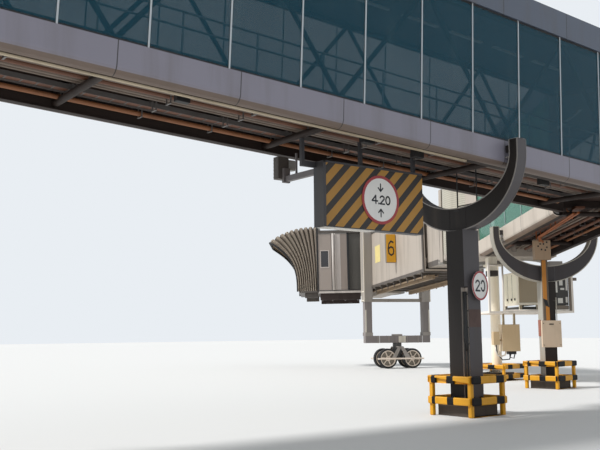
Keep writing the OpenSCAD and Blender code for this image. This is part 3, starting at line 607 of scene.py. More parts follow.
def flat_piece(name, place, material, draw):
    # Flat marks have no inside, so all their faces are turned to the front by hand
    mesh = built(draw, False)
    for face in mesh.polygons:
        if face.normal.y > 0:
            face.flip()
    return finished(name, mesh, place, material)


print("pieces ready")

# %% [markdown]
# ## Geometry Nodes for what repeats
# Glass caps, pipe clamps, bolts, rungs and ribs are one small part repeated at even steps. A node tree
# says that rule once: a line of points, an instance on each, then Realize Instances and Set Material.
# Two trees are enough, one for a straight row and one for a ring, and each wall only changes their numbers.


# %% Row and ring trees
class Rule(Tree):
    def __init__(self, name, inputs):
        group = bpy.data.node_groups.new(name, "GeometryNodeTree")
        super().__init__(group)
        self.sockets = {}
        for label, kind, value in inputs:
            item = group.interface.new_socket(label, in_out="INPUT", socket_type="NodeSocket" + kind)
            if value is not None:
                item.default_value = value
            self.sockets[label] = item.identifier
        group.interface.new_socket("Geometry", in_out="OUTPUT", socket_type="NodeSocketGeometry")
        self.entry = group.nodes.new("NodeGroupInput")

    def value(self, label):
        return Wire(self, self.entry.outputs[label])

    def close(self, points, shape):
        copies = self.node("GeometryNodeInstanceOnPoints", None, {"Points": points, "Instance": shape})
        real = self.node("GeometryNodeRealizeInstances", None, {"Geometry": copies})
        painted = self.node("GeometryNodeSetMaterial", None, {
            "Geometry": real, "Material": self.value("Finish")})
        self.node("NodeGroupOutput", None, {"Geometry": painted})
        return self


def row_rule():
    rule = Rule("row of blocks", [
        ("Count", "Int", 2), ("Start", "Vector", (0, 0, 0)), ("Step", "Vector", (1, 0, 0)),
        ("Size", "Vector", (0.1, 0.1, 0.1)), ("Finish", "Material", None)])
    line = rule.node("GeometryNodeMeshLine", {"mode": "OFFSET"}, {
        "Count": rule.value("Count"), "Start Location": rule.value("Start"), "Offset": rule.value("Step")})
    return rule.close(line, rule.node("GeometryNodeMeshCube", None, {"Size": rule.value("Size")}))


def ring_rule():
    rule = Rule("ring of bolts", [
        ("Count", "Int", 8), ("Ring radius", "Float", 0.3), ("Bolt radius", "Float", 0.02),
        ("Bolt height", "Float", 0.03), ("Sides", "Int", 6), ("Finish", "Material", None)])
    circle = rule.node("GeometryNodeMeshCircle", None, {
        "Vertices": rule.value("Count"), "Radius": rule.value("Ring radius")})
    bolt = rule.node("GeometryNodeMeshCylinder", None, {
        "Vertices": rule.value("Sides"), "Radius": rule.value("Bolt radius"),
        "Depth": rule.value("Bolt height")})
    return rule.close(circle, bolt)


def grow(rule, values):
    # The modifier's inputs are set before the object is first evaluated
    seed = bpy.data.objects.new("seed", bpy.data.meshes.new("seed"))
    bpy.context.scene.collection.objects.link(seed)
    modifier = seed.modifiers.new("rule", "NODES")
    modifier.node_group = rule.node_tree
    for label, value in values.items():
        modifier[rule.sockets[label]] = value
    graph = bpy.context.evaluated_depsgraph_get()
    mesh = bpy.data.meshes.new_from_object(seed.evaluated_get(graph))
    seed.modifiers.clear()
    bpy.data.objects.remove(seed)
    return mesh


ROW = row_rule()
RING = ring_rule()


def row(material, count, start, step, size):
    return grow(ROW, {"Count": count, "Start": start, "Step": step, "Size": size, "Finish": material})


def single(material, middle, size):
    return row(material, 1, middle, (1, 0, 0), size)


def ring(material, count, ring_radius, bolt_radius, height):
    return grow(RING, {"Count": count, "Ring radius": ring_radius, "Bolt radius": bolt_radius,
                       "Bolt height": height, "Sides": 6, "Finish": material})


def joined(parts):
    # parts: (mesh, matrix) pairs, joined to one mesh
    work = bmesh.new()
    materials = []
    for mesh, matrix in parts:
        first = len(work.faces)
        offset = len(materials)
        materials.extend(mesh.materials)
        mesh.transform(matrix)
        work.from_mesh(mesh)
        work.faces.ensure_lookup_table()
        for face in work.faces[first:]:
            face.material_index += offset
    whole = bpy.data.meshes.new("joined")
    work.to_mesh(whole)
    work.free()
    for material in materials:
        whole.materials.append(material)
    return whole


def rows(name, place, material, *parts):
    # Each part: count, first middle, step and size. All rows of a piece stand in one place
    return finished(name, joined([(row(material, *part), GROUND) for part in parts]), place, material)


print("rules:", ROW.node_tree.name, "and", RING.node_tree.name)

# %% [markdown]
# ## Caps over the glass joints
# Each glass joint is closed by a slim silver cap, and a black gasket runs under the glass. The caps stand
# on a fixed pitch, so they are a row. They stop where the corner's collar begins.

# %% Glass caps
silver = weathered("silver cap", "#b9bdbf", rough=0.35, metallic=0.6, grime=0.15, streaks=False)
gasket_black = weathered("black gasket", "#1d1d1f", rough=0.7, grime=0.3, streaks=False)
GLASS_FACE = 1.516
GLASS_HIGH = 3.17
BAY_STEP = (BAY, 0, 0)


def caps(first, last, offset, side):
    start = math.ceil((first - offset) / BAY) * BAY + offset
    count = int((last - start) / BAY) + 1
    middle = (start, side * (GLASS_FACE + 0.008), GLASS_HIGH / 2)
    return row(silver, count, middle, BAY_STEP, (0.034, 0.022, GLASS_HIGH))


finished("glass_caps", joined([
    (caps(-15.6, 7.25, 0.46, -1), MAIN), (caps(-15.6, 5.6, 0.46, 1), MAIN),
    (caps(1.2, 8.4, 0.42, 1), BRANCH), (caps(-0.5, 8.4, 0.42, -1), BRANCH)]), ON_GROUND, silver)
blocks("glass_gaskets", ON_MAIN, gasket_black, *(
    ((-15.64, side * (GLASS_FACE + 0.004), low), (last, side * (GLASS_FACE - 0.004), low + 0.05))
    for side, last in ((-1, 7.45), (1, 5.7)) for low in (0.0, GLASS_HIGH - 0.05)))

# %% [markdown]
# ## Guard rails
# Each column stands in a guard of square posts and wide rails with rounded edges, yellow with black bands.
# The bands are tape in real life, so they are thin sleeves a millimetre and a half proud of the rail.
# Their edges then stay crisp at any distance, which a striped texture on a soft edge would not.

# %% Rounded guard rails with tape bands
guard_yellow = weathered("guard yellow", "#dd9d0a", dirt="#6f4d14", rough=0.45, grime=0.30)
tape_black = weathered(
    "guard black tape", "#131213", dirt="#2f2a24", rough=0.55, grime=0.3, streaks=False, gloss=0.2)
POST = 0.11
RAIL = 0.06
RAIL_HIGH = 0.18
TAPE = 0.0015
# Each rail's bands, as shares of its length, by the side of the guard that they are on
NEAR_BANDS = {0: ((0.0, 0.26), (0.66, 0.93)), 90: ((0.06, 0.24), (0.52, 0.76)),
              180: ((0.0, 0.26), (0.66, 0.93)), 270: ((0.08, 0.20), (0.45, 0.64))}
BRANCH_BANDS = {0: ((0.0, 0.35), (0.70, 1.0)), 90: ((0.10, 0.30), (0.55, 0.80)),
                180: ((0.0, 0.30), (0.60, 0.85)), 270: ((0.12, 0.21), (0.46, 0.68), (0.94, 1.0))}
ROTUNDA_BANDS = {0: ((0.10, 0.32), (0.60, 0.82)), 90: ((0.10, 0.30), (0.55, 0.80)),
                 180: ((0.0, 0.25), (0.50, 0.75)), 270: ((0.05, 0.25), (0.58, 0.78))}


def draw_guard(work, half, rail_feet, top):
    inner = half - POST
    for x in (-half, inner):
        for y in (-half, inner):
            block(work, (x, y, 0), (x + POST, y + POST, top), 0.02)
    for side in (turn("Z", angle) for angle in (0, 90, 180, 270)):
        for low in rail_feet:
            moved(work, side, block,
                  (-half, -half - RAIL, low), (half, -half - 0.0005, low + RAIL_HIGH), 0.028)
        moved(work, side, block, (-inner, -half, 0), (inner, -0.5, 0.015))


def draw_tape(work, half, rail_feet, all_bands):
    for angle, bands in all_bands.items():
        for low in rail_feet:
            for first, last in bands:
                moved(work, turn("Z", angle), block,
                      (-half + 2 * half * first - TAPE, -half - RAIL - TAPE, low - TAPE),
                      (-half + 2 * half * last, -half - 0.001, low + RAIL_HIGH + TAPE), 0.029)


GUARDS = (
    ("near_barrier", turn("Z", 3), 0.65, 0.96, 0.28, NEAR_BANDS),
    ("branch_barrier", move(*branch_yoke_spot) @ turn("Z", 8), 0.65, 0.96, 0.28, BRANCH_BANDS),
    ("rotunda_barrier", ROTUNDA_FOOT @ turn("Z", 8), 0.9, 0.65, 0.08, ROTUNDA_BANDS),
)
for name, matrix, half, top, foot, bands in GUARDS:
    place = (matrix, WALKWAY)
    feet = (foot, top - RAIL_HIGH)
    rails = draw_piece(name + "_rails", place, guard_yellow, lambda work: draw_guard(work, half, feet, top))
    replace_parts(rails, name)
    draw_piece(name + "_tape", place, tape_black, lambda work: draw_tape(work, half, feet, bands))
print("guards:", len(GUARDS))

# %% [markdown]
# ## The clearance sign
# On the striped sheet stand a white disc with a red ring, two arrows and a plain number.
# They are thin plates, a few millimetres proud of each other. A figure is a line of flat strokes.

# %% Sign plates
sign_red = weathered("sign red", "#a3363b", grime=0.15, rough=0.45, streaks=False)
sign_ink = weathered("sign ink", "#24262f", grime=0.1, rough=0.5, streaks=False)
pale_trim = weathered("pale trim", "#d8d4cc", grime=0.3, rough=0.5)
DIGITS = {
    "4": [(0.62, 0.0), (0.62, 1.0), (0.0, 0.32), (0.9, 0.32)],
    "2": [(0.02, 0.78), (0.16, 0.95), (0.42, 1.0), (0.66, 0.86), (0.66, 0.62), (0.0, 0.0), (0.72, 0.0)],
    "0": [(0.36 + 0.34 * math.sin(math.pi * k / 12), 0.5 + 0.5 * math.cos(math.pi * k / 12))
          for k in range(25)],
    "6": [(0.62, 0.92), (0.36, 1.0), (0.12, 0.82), (0.02, 0.45), (0.08, 0.14), (0.34, 0.0), (0.60, 0.1),
          (0.68, 0.32), (0.58, 0.54), (0.34, 0.6), (0.10, 0.5)],
    ".": [(0.0, 0.0), (0.0, 0.06)],
}
MARK_DEPTH = -0.0135
ARROW_WIDTH = 0.035


def stroke(work, points, width, depth):
    # Flat strokes in the XZ plane, with a round end at every point
    for i, (x, z) in enumerate(points):
        made = bmesh.ops.create_circle(work, cap_ends=True, radius=width / 2, segments=16)["verts"]
        bmesh.ops.transform(work, matrix=move(x, depth, z) @ turn("X", 90), verts=made)
        if i:
            a = Vector((points[i - 1][0], depth, points[i - 1][1]))
            b = Vector((x, depth, z))
            ahead = (b - a).normalized()
            side = Vector((-ahead.z, 0, ahead.x)) * width / 2
            work.faces.new([work.verts.new(p) for p in (a - side, b - side, b + side, a + side)])


def plate(name, place, material, radius, depth, thick, hole=0.0):
    def draw(work):
        upright = move(0, depth, 0) @ turn("X", 90)
        if hole:
            moved(work, upright, turned, [(hole, 0), (radius, 0), (radius, thick), (hole, thick)], 64)
        else:
            moved(work, upright, rod, radius, thick, 64)
    draw_piece(name, place, material, draw)


def draw_figures(work, figures, size, width, start, depth):
    x = start
    for points in (DIGITS[figure] for figure in figures):
        stroke(work, [(x + px * size, (pz - 0.5) * size) for px, pz in points], width, depth)
        x += size * (max(px for px, pz in points) + 0.22)


def draw_sign_marks(work):
    draw_figures(work, "4.20", 0.18, 0.036, -0.26, MARK_DEPTH)
    for z, way in ((0.36, 1), (-0.38, -1)):
        stroke(work, [(0, z), (0, z - way * 0.16)], ARROW_WIDTH, MARK_DEPTH)
        head = [(-0.07, z - way * 0.09), (0, z - way * 0.165), (0.07, z - way * 0.09)]
        stroke(work, head, ARROW_WIDTH, MARK_DEPTH)


ON_DISC = (move(-3.10, -0.43, 4.97), WALKWAY)
plate("sign_disc", ON_DISC, white_disc, 0.52, -0.008, 0.008)
plate("sign_ring", ON_DISC, sign_red, 0.555, -0.006, 0.010, 0.49)
flat_piece("sign_marks", ON_DISC, sign_ink, draw_sign_marks)
blocks("sign_foot_strip", ON_GROUND, dark_steel,
       ((-4.67, -0.434, 4.262), (-1.77, -0.17, 4.285), 0.004),
       ((-4.735, -0.445, 5.66), (-1.77, -0.425, 5.705), 0.004),
       ((-4.735, -0.445, 4.27), (-4.665, -0.425, 5.70), 0.004))
blocks("sign_light_edge", ON_GROUND, pale_trim, ((-4.72, -0.44, 4.245), (-3.3, -0.18, 4.262), 0.004))
print("clearance sign done")

# %% [markdown]
# ## Lamps and the speed sign
# A floodlight hangs behind the clearance sign: a shallow box with a lens, a yoke of bent strip and a row of
# fins. A boxy lamp stands at the end of an arm that leads back from the sign's left corner, and a round
# speed sign stands off the near column.

# %% Lamps, speed sign
lamp_case = weathered("lamp case", "#a8aaa8", grime=0.25, rough=0.4, metallic=0.3)
lamp_lens = weathered("lamp lens", "#d7dcdc", grime=0.1, rough=0.15, coat=0.4, streaks=False)
arm_grey = weathered("lamp arm grey", "#6f6a6b", grime=0.3)
lamp_brown = weathered("lamp box brown", "#4c4643", grime=0.35)
ON_FLOODLIGHT = (move(-1.45, 0.35, 5.35) @ turn("Z", 160) @ turn("X", -25), WALKWAY)
ON_SPEED_SIGN = (move(0.2, -0.35, 3.13) @ turn("Z", 10), WALKWAY)


def draw_floodlight(work):
    block(work, (-0.26, -0.07, -0.20), (0.26, 0.10, 0.20), 0.015)
    for side in SIDES:
        block(work, (side * 0.30, -0.02, -0.03), (side * 0.27, 0.02, 0.30), 0.004)
    block(work, (-0.30, -0.02, 0.285), (0.30, 0.02, 0.31), 0.004)
    tube(work, [(0, 0, 0.30), (0, 0, 0.42)], 0.02)


draw_piece("right_floodlight", ON_FLOODLIGHT, lamp_case, draw_floodlight)
rows("right_floodlight_fins", ON_FLOODLIGHT, lamp_case,
     (9, (-0.22, 0.13, 0), (0.055, 0, 0), (0.008, 0.06, 0.34)))
blocks("right_floodlight_lens", ON_FLOODLIGHT, lamp_lens,
       ((-0.23, -0.085, -0.17), (0.23, -0.071, 0.17), 0.004))
blocks("lamp_arm", ON_GROUND, arm_grey,
       ((-4.72, -0.168, 5.44), (-4.61, 0.98, 5.57), 0.006),
       ((-4.69, 0.60, 5.5705), (-4.65, 0.64, 6.04), 0.004),
       ((-4.76, 0.9805, 5.42), (-4.58, 1.06, 5.76), 0.006))
blocks("left_lamp", ON_GROUND, lamp_brown, ((-4.86, 1.0605, 5.51), (-4.56, 1.26, 6.03), 0.012), *(
    ((-4.872, 1.08, 5.55 + 0.08 * step), (-4.861, 1.24, 5.57 + 0.08 * step)) for step in range(6)))
blocks("left_lamp_hood", ON_GROUND, lamp_case, ((-4.5595, 1.09, 5.74), (-4.34, 1.24, 5.99), 0.03))
plate("speed_ring", ON_SPEED_SIGN, sign_red, 0.36, -0.0075, 0.006, 0.315)
flat_piece("speed_marks", ON_SPEED_SIGN, sign_ink,
           lambda work: draw_figures(work, "20", 0.25, 0.045, -0.20, -0.0085))
print("lamps and speed sign done")

# %% [markdown]
# ## Steel edges of the yokes
# A yoke is a welded plate box: its flanges stand a little proud of its webs and catch the light.
# The same half ellipse that shapes the CAD yoke draws a thin lip along each edge of it. The lips are painted
# paler than the yoke: a painted highlight.

# %% Yoke lips and stiffeners
# The two pale finishes below go on the flange lips and tip plates: a painted highlight
flange_highlight = weathered("flange edge painted highlight", "#8b8681", dirt="#5c4a3e", rough=0.5, grime=0.3, streaks=False)
branch_light = weathered("pale flange edge", "#b9b2a4", grime=0.4, rough=0.5, streaks=False)
YOKE_INNER = (1.71, 1.15)
YOKE_OUTER = (1.96, 1.73)
YOKE_TIP = 1.835
ARM = 0.275


def yoke_edge(ellipse, grow_by, steps=40):
    a, b = ellipse[0] + grow_by, ellipse[1] + grow_by
    angles = [math.pi + math.pi * i / steps for i in range(steps + 1)]
    arc = [(a * math.cos(t), b * math.sin(t)) for t in angles]
    return [(-a, ARM)] + arc + [(a, ARM)]


LIPS = ((yoke_edge(YOKE_OUTER, -0.025), yoke_edge(YOKE_OUTER, 0.004)),
        (yoke_edge(YOKE_INNER, -0.004), yoke_edge(YOKE_INNER, 0.022)))
STIFFENERS = [((side * 0.1555, y - 0.012, -1.70), (side * 0.162, y + 0.012, -1.18))
              for side in SIDES for y in (-0.27, 0.27)]
STIFFENERS += [((side * 0.02 - 0.02, y - 0.14, ARM), (side * 0.02 + 0.02, y + 0.14, ARM + 0.012))
               for side in SIDES for y in (-YOKE_TIP, YOKE_TIP)]
TIP_PLATES = [
    ((-0.15, side * YOKE_TIP - 0.12, ARM + 0.001), (0.15, side * YOKE_TIP + 0.12, ARM + 0.014), 0.004)
    for side in SIDES]
TIP_PLATES += [((-0.14, side * 1.575, -0.14), (0.14, side * 1.70, -0.118), 0.004) for side in SIDES]
YOKES = (
    ("end", END_COLUMN @ move(0, 0, SILL - drop(END_YOKE_X, MAIN_FALL) - ARM), flange_highlight),
    ("near", move(0, 0, SILL - ARM), flange_highlight),
    ("branch", move(0, 0, branch_yoke_sill - ARM) @ BRANCH_COLUMN, branch_light),
)
for label, matrix, trim_finish in YOKES:
    place = (matrix, WALKWAY)
    ribbons(label + "_yoke_lips", place, trim_finish, *(
        (first, second, side * 0.155, side * 0.163) for side in SIDES for first, second in LIPS))
    blocks(label + "_yoke_stiffeners", place, slate, *STIFFENERS)
    blocks(label + "_yoke_tips", place, trim_finish, *TIP_PLATES)
print("yoke trims on", len(YOKES), "yokes")

# %% [markdown]
# ## Column feet, cables and conduits
# Each column ends in a base plate held by a ring of bolts: the ring tree draws them. The near column's
# recess holds black cables, which are round tubes along a few points, clipped to its back.

# %% Base plates and bolts
bolt_steel = weathered("bolt steel", "#8f8c86", rough=0.4, metallic=0.7, grime=0.4, streaks=False)
BASE_LOW, BASE_HIGH = 0.3005, 0.328


def draw_square_base(work, half):
    near, edge = half + 0.001, half + 0.13
    for x0, y0, x1, y1 in ((-edge, -edge, edge, -near), (-edge, near, edge, edge),
                           (-edge, -near, -near, near), (near, -near, edge, near)):
        block(work, (x0, y0, BASE_LOW), (x1, y1, BASE_HIGH))
    for side in SIDES:
        for rib in (-0.15, 0.15):
            low = (rib - 0.008, side * near)
            high = (rib + 0.008, side * (half + 0.11))
            block(work, (*low, BASE_HIGH), (*high, 0.45))
            block(work, (*low[::-1], BASE_HIGH), (*high[::-1], 0.45))


def draw_round_base(work, half):
    near, edge = half + 0.002, half + 0.14
    turned(work, [(near, BASE_LOW), (edge, BASE_LOW), (edge, BASE_HIGH), (near, BASE_HIGH)])


FEET = (
    ("end", END_COLUMN, 0.28, 0.10, draw_square_base, slate),
    ("near", GROUND, 0.28, 0.10, draw_square_base, slate),
    ("branch", BRANCH_COLUMN, 0.25, 0.10, draw_square_base, slate),
    ("rotunda", ROTUNDA_FOOT, 0.21, 0.075, draw_round_base, column_cream),
)
for label, matrix, half, bolt_out, draw_base, material in FEET:
    draw_piece(label + "_base_plate", (matrix, WALKWAY), material, lambda work: draw_base(work, half))
    bolts = ring(bolt_steel, 12, half + bolt_out, 0.018, 0.05)
    bolts.transform(move(0, 0, 0.353))
    finished(label + "_bolts", bolts, (matrix, WALKWAY), bolt_steel)
print("feet:", len(FEET))

# %% Cables and conduits of the near column
cable_black = weathered("cable black", "#18181a", rough=0.6, grime=0.2, streaks=False)
# Light grey for the recess's inner faces: a painted patch of sunlight
recess_sunlight_grey = weathered("recess painted sunlight", "#b7aca2", dirt="#6d6056", grime=0.3, rough=0.5)
rust_band = weathered("rust band", "#5a4640", dirt="#39302c", grime=0.5, rough=0.7, streaks=False)
white_strip = weathered("white strip", "#dcdad6", grime=0.3, rough=0.5)


def draw_cables(work):
    for x, y, low, radius in ((-0.245, -0.205, 0.37, 0.02), (-0.20, -0.245, 0.37, 0.02),
                              (-0.225, -0.25, 1.55, 0.026), (-0.25, -0.255, 1.72, 0.022),
                              (-0.262, -0.225, 1.80, 0.018)):
        lean = 0.012 * math.sin(60 * x + 35 * y)
        tube(work, [(x, y, 2.98), (x + lean, y, 2.4), (x, y + lean, 1.95),
                    (x - 0.4 * lean, y, (low + 1.95) / 2), (x, y, low)], radius, 8)
    for z in (1.7, 2.1, 2.5, 2.9):
        block(work, (-0.272, -0.275, z), (-0.165, -0.262, z + 0.03), 0.003)


def draw_conduits(work):
    tube(work, [(-0.10, 0.02, 6.10), (-0.10, 0.02, 5.02)], 0.018, 8)
    tube(work, [(0.12, -0.42, 6.10), (0.12, -0.42, 5.12)], 0.016, 8)
    tube(work, [(-0.10, 0.02, 5.12), (0.02, -0.40, 5.16), (0.12, -0.80, 5.30)], 0.014, 8)
    block(work, (-0.16, -0.06, 4.995), (-0.04, 0.10, 5.02), 0.003)


draw_piece("column_cables", ON_GROUND, cable_black, draw_cables, smooth=True)
# The recess's inner faces are painted light grey: a painted patch of sunlight
blocks("recess_painted_sunlight", ON_GROUND, recess_sunlight_grey,
       ((-0.1660, -0.274, 0.37), (-0.1605, -0.162, 3.08)),
       ((-0.274, -0.1660, 0.37), (-0.1665, -0.1605, 3.08)))
blocks("column_rust_band", ON_GROUND, rust_band, ((-0.155, -0.2835, 2.12), (0.278, -0.2805, 2.55), 0.001))
draw_piece("yoke_conduits", ON_GROUND, cable_black, draw_conduits)
blocks("column_white_strip", ON_GROUND, white_strip, ((0.281, -0.26, 0.62), (0.31, -0.20, 1.72), 0.008))
print("cables done")

# %% [markdown]
# ## Pipes, hangers and trays under the floor
# From the ground one looks up into the floor frame, so it needs its real clutter: pipe runs, hangers at
# every cross beam, a rung row in the cable tray and a few junction boxes. Hangers and rungs sit on the
# bay's pitch, which is work for the row tree. The pipes are tubes of several warm browns.

# %% Underfloor runs
rust_pipe = weathered("rust pipe", "#8a5836", dirt="#3c291f", rough=0.55, grime=0.5, streaks=False)
pale_pipe = weathered("pale pipe", "#75665a", dirt="#463629", rough=0.5, grime=0.4, streaks=False)
galvanised = weathered(
    "galvanised", "#6b6765", dirt="#40362f", rough=0.45, metallic=0.3, grime=0.4, streaks=False)
pale_batten = weathered("pale batten", "#b7a88f", dirt="#5a4a3a", rough=0.6, grime=0.4, streaks=False)
UPPER_PIPES = ((-1.05, -0.40, 0.045), (0.98, -0.42, 0.05), (1.12, -0.36, 0.03))
LOWER_PIPES = ((-0.05, -0.33, 0.04), (0.12, -0.33, 0.03), (-0.52, -0.36, 0.035))
RUNG_STEP = 0.30
TRAY_Y = 0.65
HANGER_Y = (-1.05, -0.76, -0.26, 0.35, 0.98)
HANGER_PARTS = ((-0.085, -0.385, (0.03, 0.008, 0.21)), (0.085, -0.385, (0.03, 0.008, 0.21)),
                (0, -0.495, (0.04, 0.19, 0.012)))


def pipe_runs(name, place, material, first, last, pipes):
    tubes(name, place, material, *(([(first, y, z), (last, y, z)], radius, 12) for y, z, radius in pipes))


def hangers(name, place, first, count):
    rows(name, place, galvanised, *(
        (count, (first, y + shift, z), BAY_STEP, size) for y in HANGER_Y for shift, z, size in HANGER_PARTS))


def tray(name, place, first, last):
    edges = [(1, ((first + last) / 2, TRAY_Y + side * 0.153, -0.33), (1, 0, 0), (last - first, 0.006, 0.10))
             for side in SIDES]
    count = int((last - first) / RUNG_STEP)
    rungs = (count, (first, TRAY_Y, -0.345), (RUNG_STEP, 0, 0), (0.03, 0.30, 0.008))
    rows(name, place, galvanised, rungs, *edges)


pipe_runs("main_upper_pipes", ON_MAIN, rust_pipe, -15.5, 5.3, UPPER_PIPES)
pipe_runs("main_lower_pipes", ON_MAIN, pale_pipe, -15.5, 5.0, LOWER_PIPES)
pipe_runs("branch_upper_pipes", ON_BRANCH, rust_pipe, 1.2, 8.2, UPPER_PIPES[:2])
pipe_runs("branch_lower_pipes", ON_BRANCH, pale_pipe, 1.2, 8.2, LOWER_PIPES[:2])
hangers("main_hangers", ON_MAIN, END_YOKE_X + 0.02, 13)
hangers("branch_hangers", ON_BRANCH, 1.30, 5)
tray("main_tray_edges", ON_MAIN, -15.4, 5.4)
tray("branch_tray_edges", ON_BRANCH, 1.3, 8.2)
blocks("near_batten", ON_MAIN, pale_batten, ((-15.5, -1.36, -0.645), (-1.2, -1.29, -0.612), 0.006))
blocks("junction_boxes", ON_MAIN, cable_black, *(
    ((x - size, y - size / 2, -0.62), (x + size, y + size / 2, -0.43), 0.01)
    for x, y, size in ((-3.9, -0.95, 0.16), (-2.2, -0.75, 0.15), (-8.4, -0.9, 0.14), (2.3, -0.8, 0.16))))
print("underfloor done")

# %% [markdown]
# ## Inside the walkway
# Through the glass one sees handrails at hip height and a dark ceiling with a light strip. The rails are
# round tubes on posts, and the posts repeat on the bay's pitch.

# %% Handrails and light strips
rail_steel = weathered("handrail steel", "#9fa3a4", rough=0.3, metallic=0.7, grime=0.1, streaks=False)
lamp_strip = weathered("lamp strip", "#dfe3e2", rough=0.4, grime=0.05, streaks=False)
HANDRAIL_Y = 1.16


def handrails(name, place, first, last):
    tubes(name, place, rail_steel, *(
        ([(first, side * HANDRAIL_Y, z), (last, side * HANDRAIL_Y, z)], 0.025, 8)
        for side in SIDES for z in (0.72, 1.02)), smooth=True)


handrails("main_handrails", ON_MAIN, -15.5, 5.2)
handrails("branch_handrails", ON_BRANCH, 1.3, 8.4)
finished("handrail_posts", joined([
    (row(rail_steel, count, (first, side * HANDRAIL_Y, 0.51), BAY_STEP, (0.03, 0.03, 1.0)), matrix)
    for count, first, matrix in ((13, -15.2, MAIN), (5, 1.5, BRANCH)) for side in SIDES
]), ON_GROUND, rail_steel)
finished("ceiling_lamps", joined([
    (row(lamp_strip, count, (first, 0, 3.145), BAY_STEP, (1.2, 0.12, 0.03)), matrix)
    for count, first, matrix in ((12, -14.6, MAIN), (4, 2.4, BRANCH))]), ON_GROUND, lamp_strip)
print("inside done")

# %% [markdown]
# ## Trims of the two tunnels
# Each tunnel is a box of sheet on a frame, so its edges are angles and its mouth is a dark steel portal.
# Under it run pipes between cross members, which the row tree repeats. Everything here rides on its own
# tunnel, so that it slides with it.

# %% Tunnel frames, edges and underframe
tunnel_steel = weathered("tunnel edge steel", "#5a534d", dirt="#3a2f28", rough=0.5, grime=0.45)
tan_pipe = weathered("tan pipe", "#9b8469", dirt="#4d4034", rough=0.55, grime=0.5, streaks=False)
OUTER_FROM, OUTER_TO = 4.33, 14.83
OUTER_HALF = 1.48
OUTER_HIGH = 2.85
INNER_HALF = 1.28
RIB_STEP = (1.05, 0, 0)


def frame_ring(work, x0, x1, width):
    half, low, high = OUTER_HALF + 0.001, OUTER_LOW - 0.001, OUTER_HIGH + 0.001
    for side in SIDES:
        block(work, (x0, side * half, low - width), (x1, side * (half + width), high + width), 0.006)
    block(work, (x0, -half, high), (x1, half, high + width), 0.006)
    block(work, (x0, -half, low - width), (x1, half, low), 0.006)


def draw_outer_frames(work):
    frame_ring(work, OUTER_FROM - 0.001, OUTER_FROM + 0.16, 0.06)
    frame_ring(work, OUTER_TO - 0.16, OUTER_TO, 0.04)
    for side in SIDES:
        inner, outer = side * (OUTER_HALF + 0.001), side * (OUTER_HALF + 0.03)
        for low, high in ((OUTER_LOW - 0.03, OUTER_LOW + 0.12), (OUTER_HIGH - 0.05, OUTER_HIGH + 0.02)):
            block(work, (OUTER_FROM + 0.17, inner, low), (OUTER_TO - 0.17, outer, high), 0.006)


def draw_outer_under(work):
    for y, z, radius in ((1.30, -0.46, 0.045), (1.16, -0.43, 0.03), (0.72, -0.44, 0.035),
                         (-0.72, -0.44, 0.035), (-1.30, -0.46, 0.045)):
        tube(work, [(4.6, y, z), (13.2, y, z)], radius)
    for side in SIDES:
        block(work, (4.5, side * 0.90, -0.60), (13.3, side * 1.06, -0.40), 0.01)


draw_piece("outer_tunnel_frames", ON_OUTER, tunnel_steel, draw_outer_frames)
draw_piece("outer_tunnel_pipes", ON_OUTER, tan_pipe, draw_outer_under)
rows("outer_tunnel_ribs", ON_OUTER, tunnel_steel, (9, (4.9, 0, -0.33), RIB_STEP, (0.10, 2.9, 0.14)))
rows("outer_tunnel_hangers", ON_OUTER, tunnel_steel, *(
    (9, (4.9, side * 1.40, -0.45), RIB_STEP, (0.05, 0.04, 0.22)) for side in SIDES))
blocks("inner_tunnel_trim", ON_INNER, tunnel_steel, *(
    ((x0, side * (INNER_HALF + 0.001), z0), (x1, side * (INNER_HALF + 0.012), z1), 0.003)
    for side in SIDES for x0, x1, z0, z1 in ((2.75, 3.05, -0.10, 0.05), (2.75, 3.05, 2.40, 2.49),
                                             (2.75, 2.83, 0.05, 2.40), (3.06, 9.0, -0.10, 0.15))))
print("tunnel trims done")

# %% [markdown]
# ## Number box and notice
# A yellow lit box with a plain number stands off the tunnel's side, so that crews can read which bridge
# this is. Its case is rounded, its sides are darker, and the figure is a flat plate.

# %% Number box
box_yellow = weathered("number yellow", "#e0a11f", grime=0.2, rough=0.4)
box_side = weathered("number case", "#6f6a60", grime=0.3, rough=0.5)
notice_yellow = weathered("notice yellow", "#e2cf8a", grime=0.15, rough=0.5, streaks=False)
NUMBER = TUNNEL @ move(8.45, OUTER_HALF + 0.285, 1.40)
ON_NUMBER = (NUMBER, "outer_tunnel")
ON_FIGURE = (NUMBER @ turn("Z", -90) @ Matrix.Diagonal((0.62, 1, 1, 1)), "outer_tunnel")
blocks("number_case", ON_NUMBER, box_side, ((-0.10, -0.27, -0.76), (0.10, 0.27, 0.76), 0.05))
blocks("number_face", ON_NUMBER, box_yellow, ((-0.118, -0.255, -0.74), (-0.099, 0.255, 0.74), 0.008))
flat_piece("number_figure", ON_FIGURE, sign_ink,
           lambda work: draw_figures(work, "6", 0.74, 0.095, -0.26, -0.1195))
blocks("notice_plate", ON_OUTER, notice_yellow,
       ((11.05, OUTER_HALF + 0.001, 1.05), (11.95, OUTER_HALF + 0.012, 2.0), 0.004))
print("number box done")

# %% [markdown]
# ## Lift and beam
# The lift's housings carry corner angles and cross straps, and the beam below them carries end plates and
# cable ties. The carriage's posts have a light strip on their outer edge.

# %% Lift trims
rim_white = weathered("rim white", "#ecdccb", dirt="#6a6054", rough=0.4, grime=0.4, streaks=False)
lift_light = weathered("lift light edge", "#e4dbcb", grime=0.35, rough=0.5)
HOUSING_Y = OUTER_HALF + 0.25
housing_top = lift_floor + 3.30


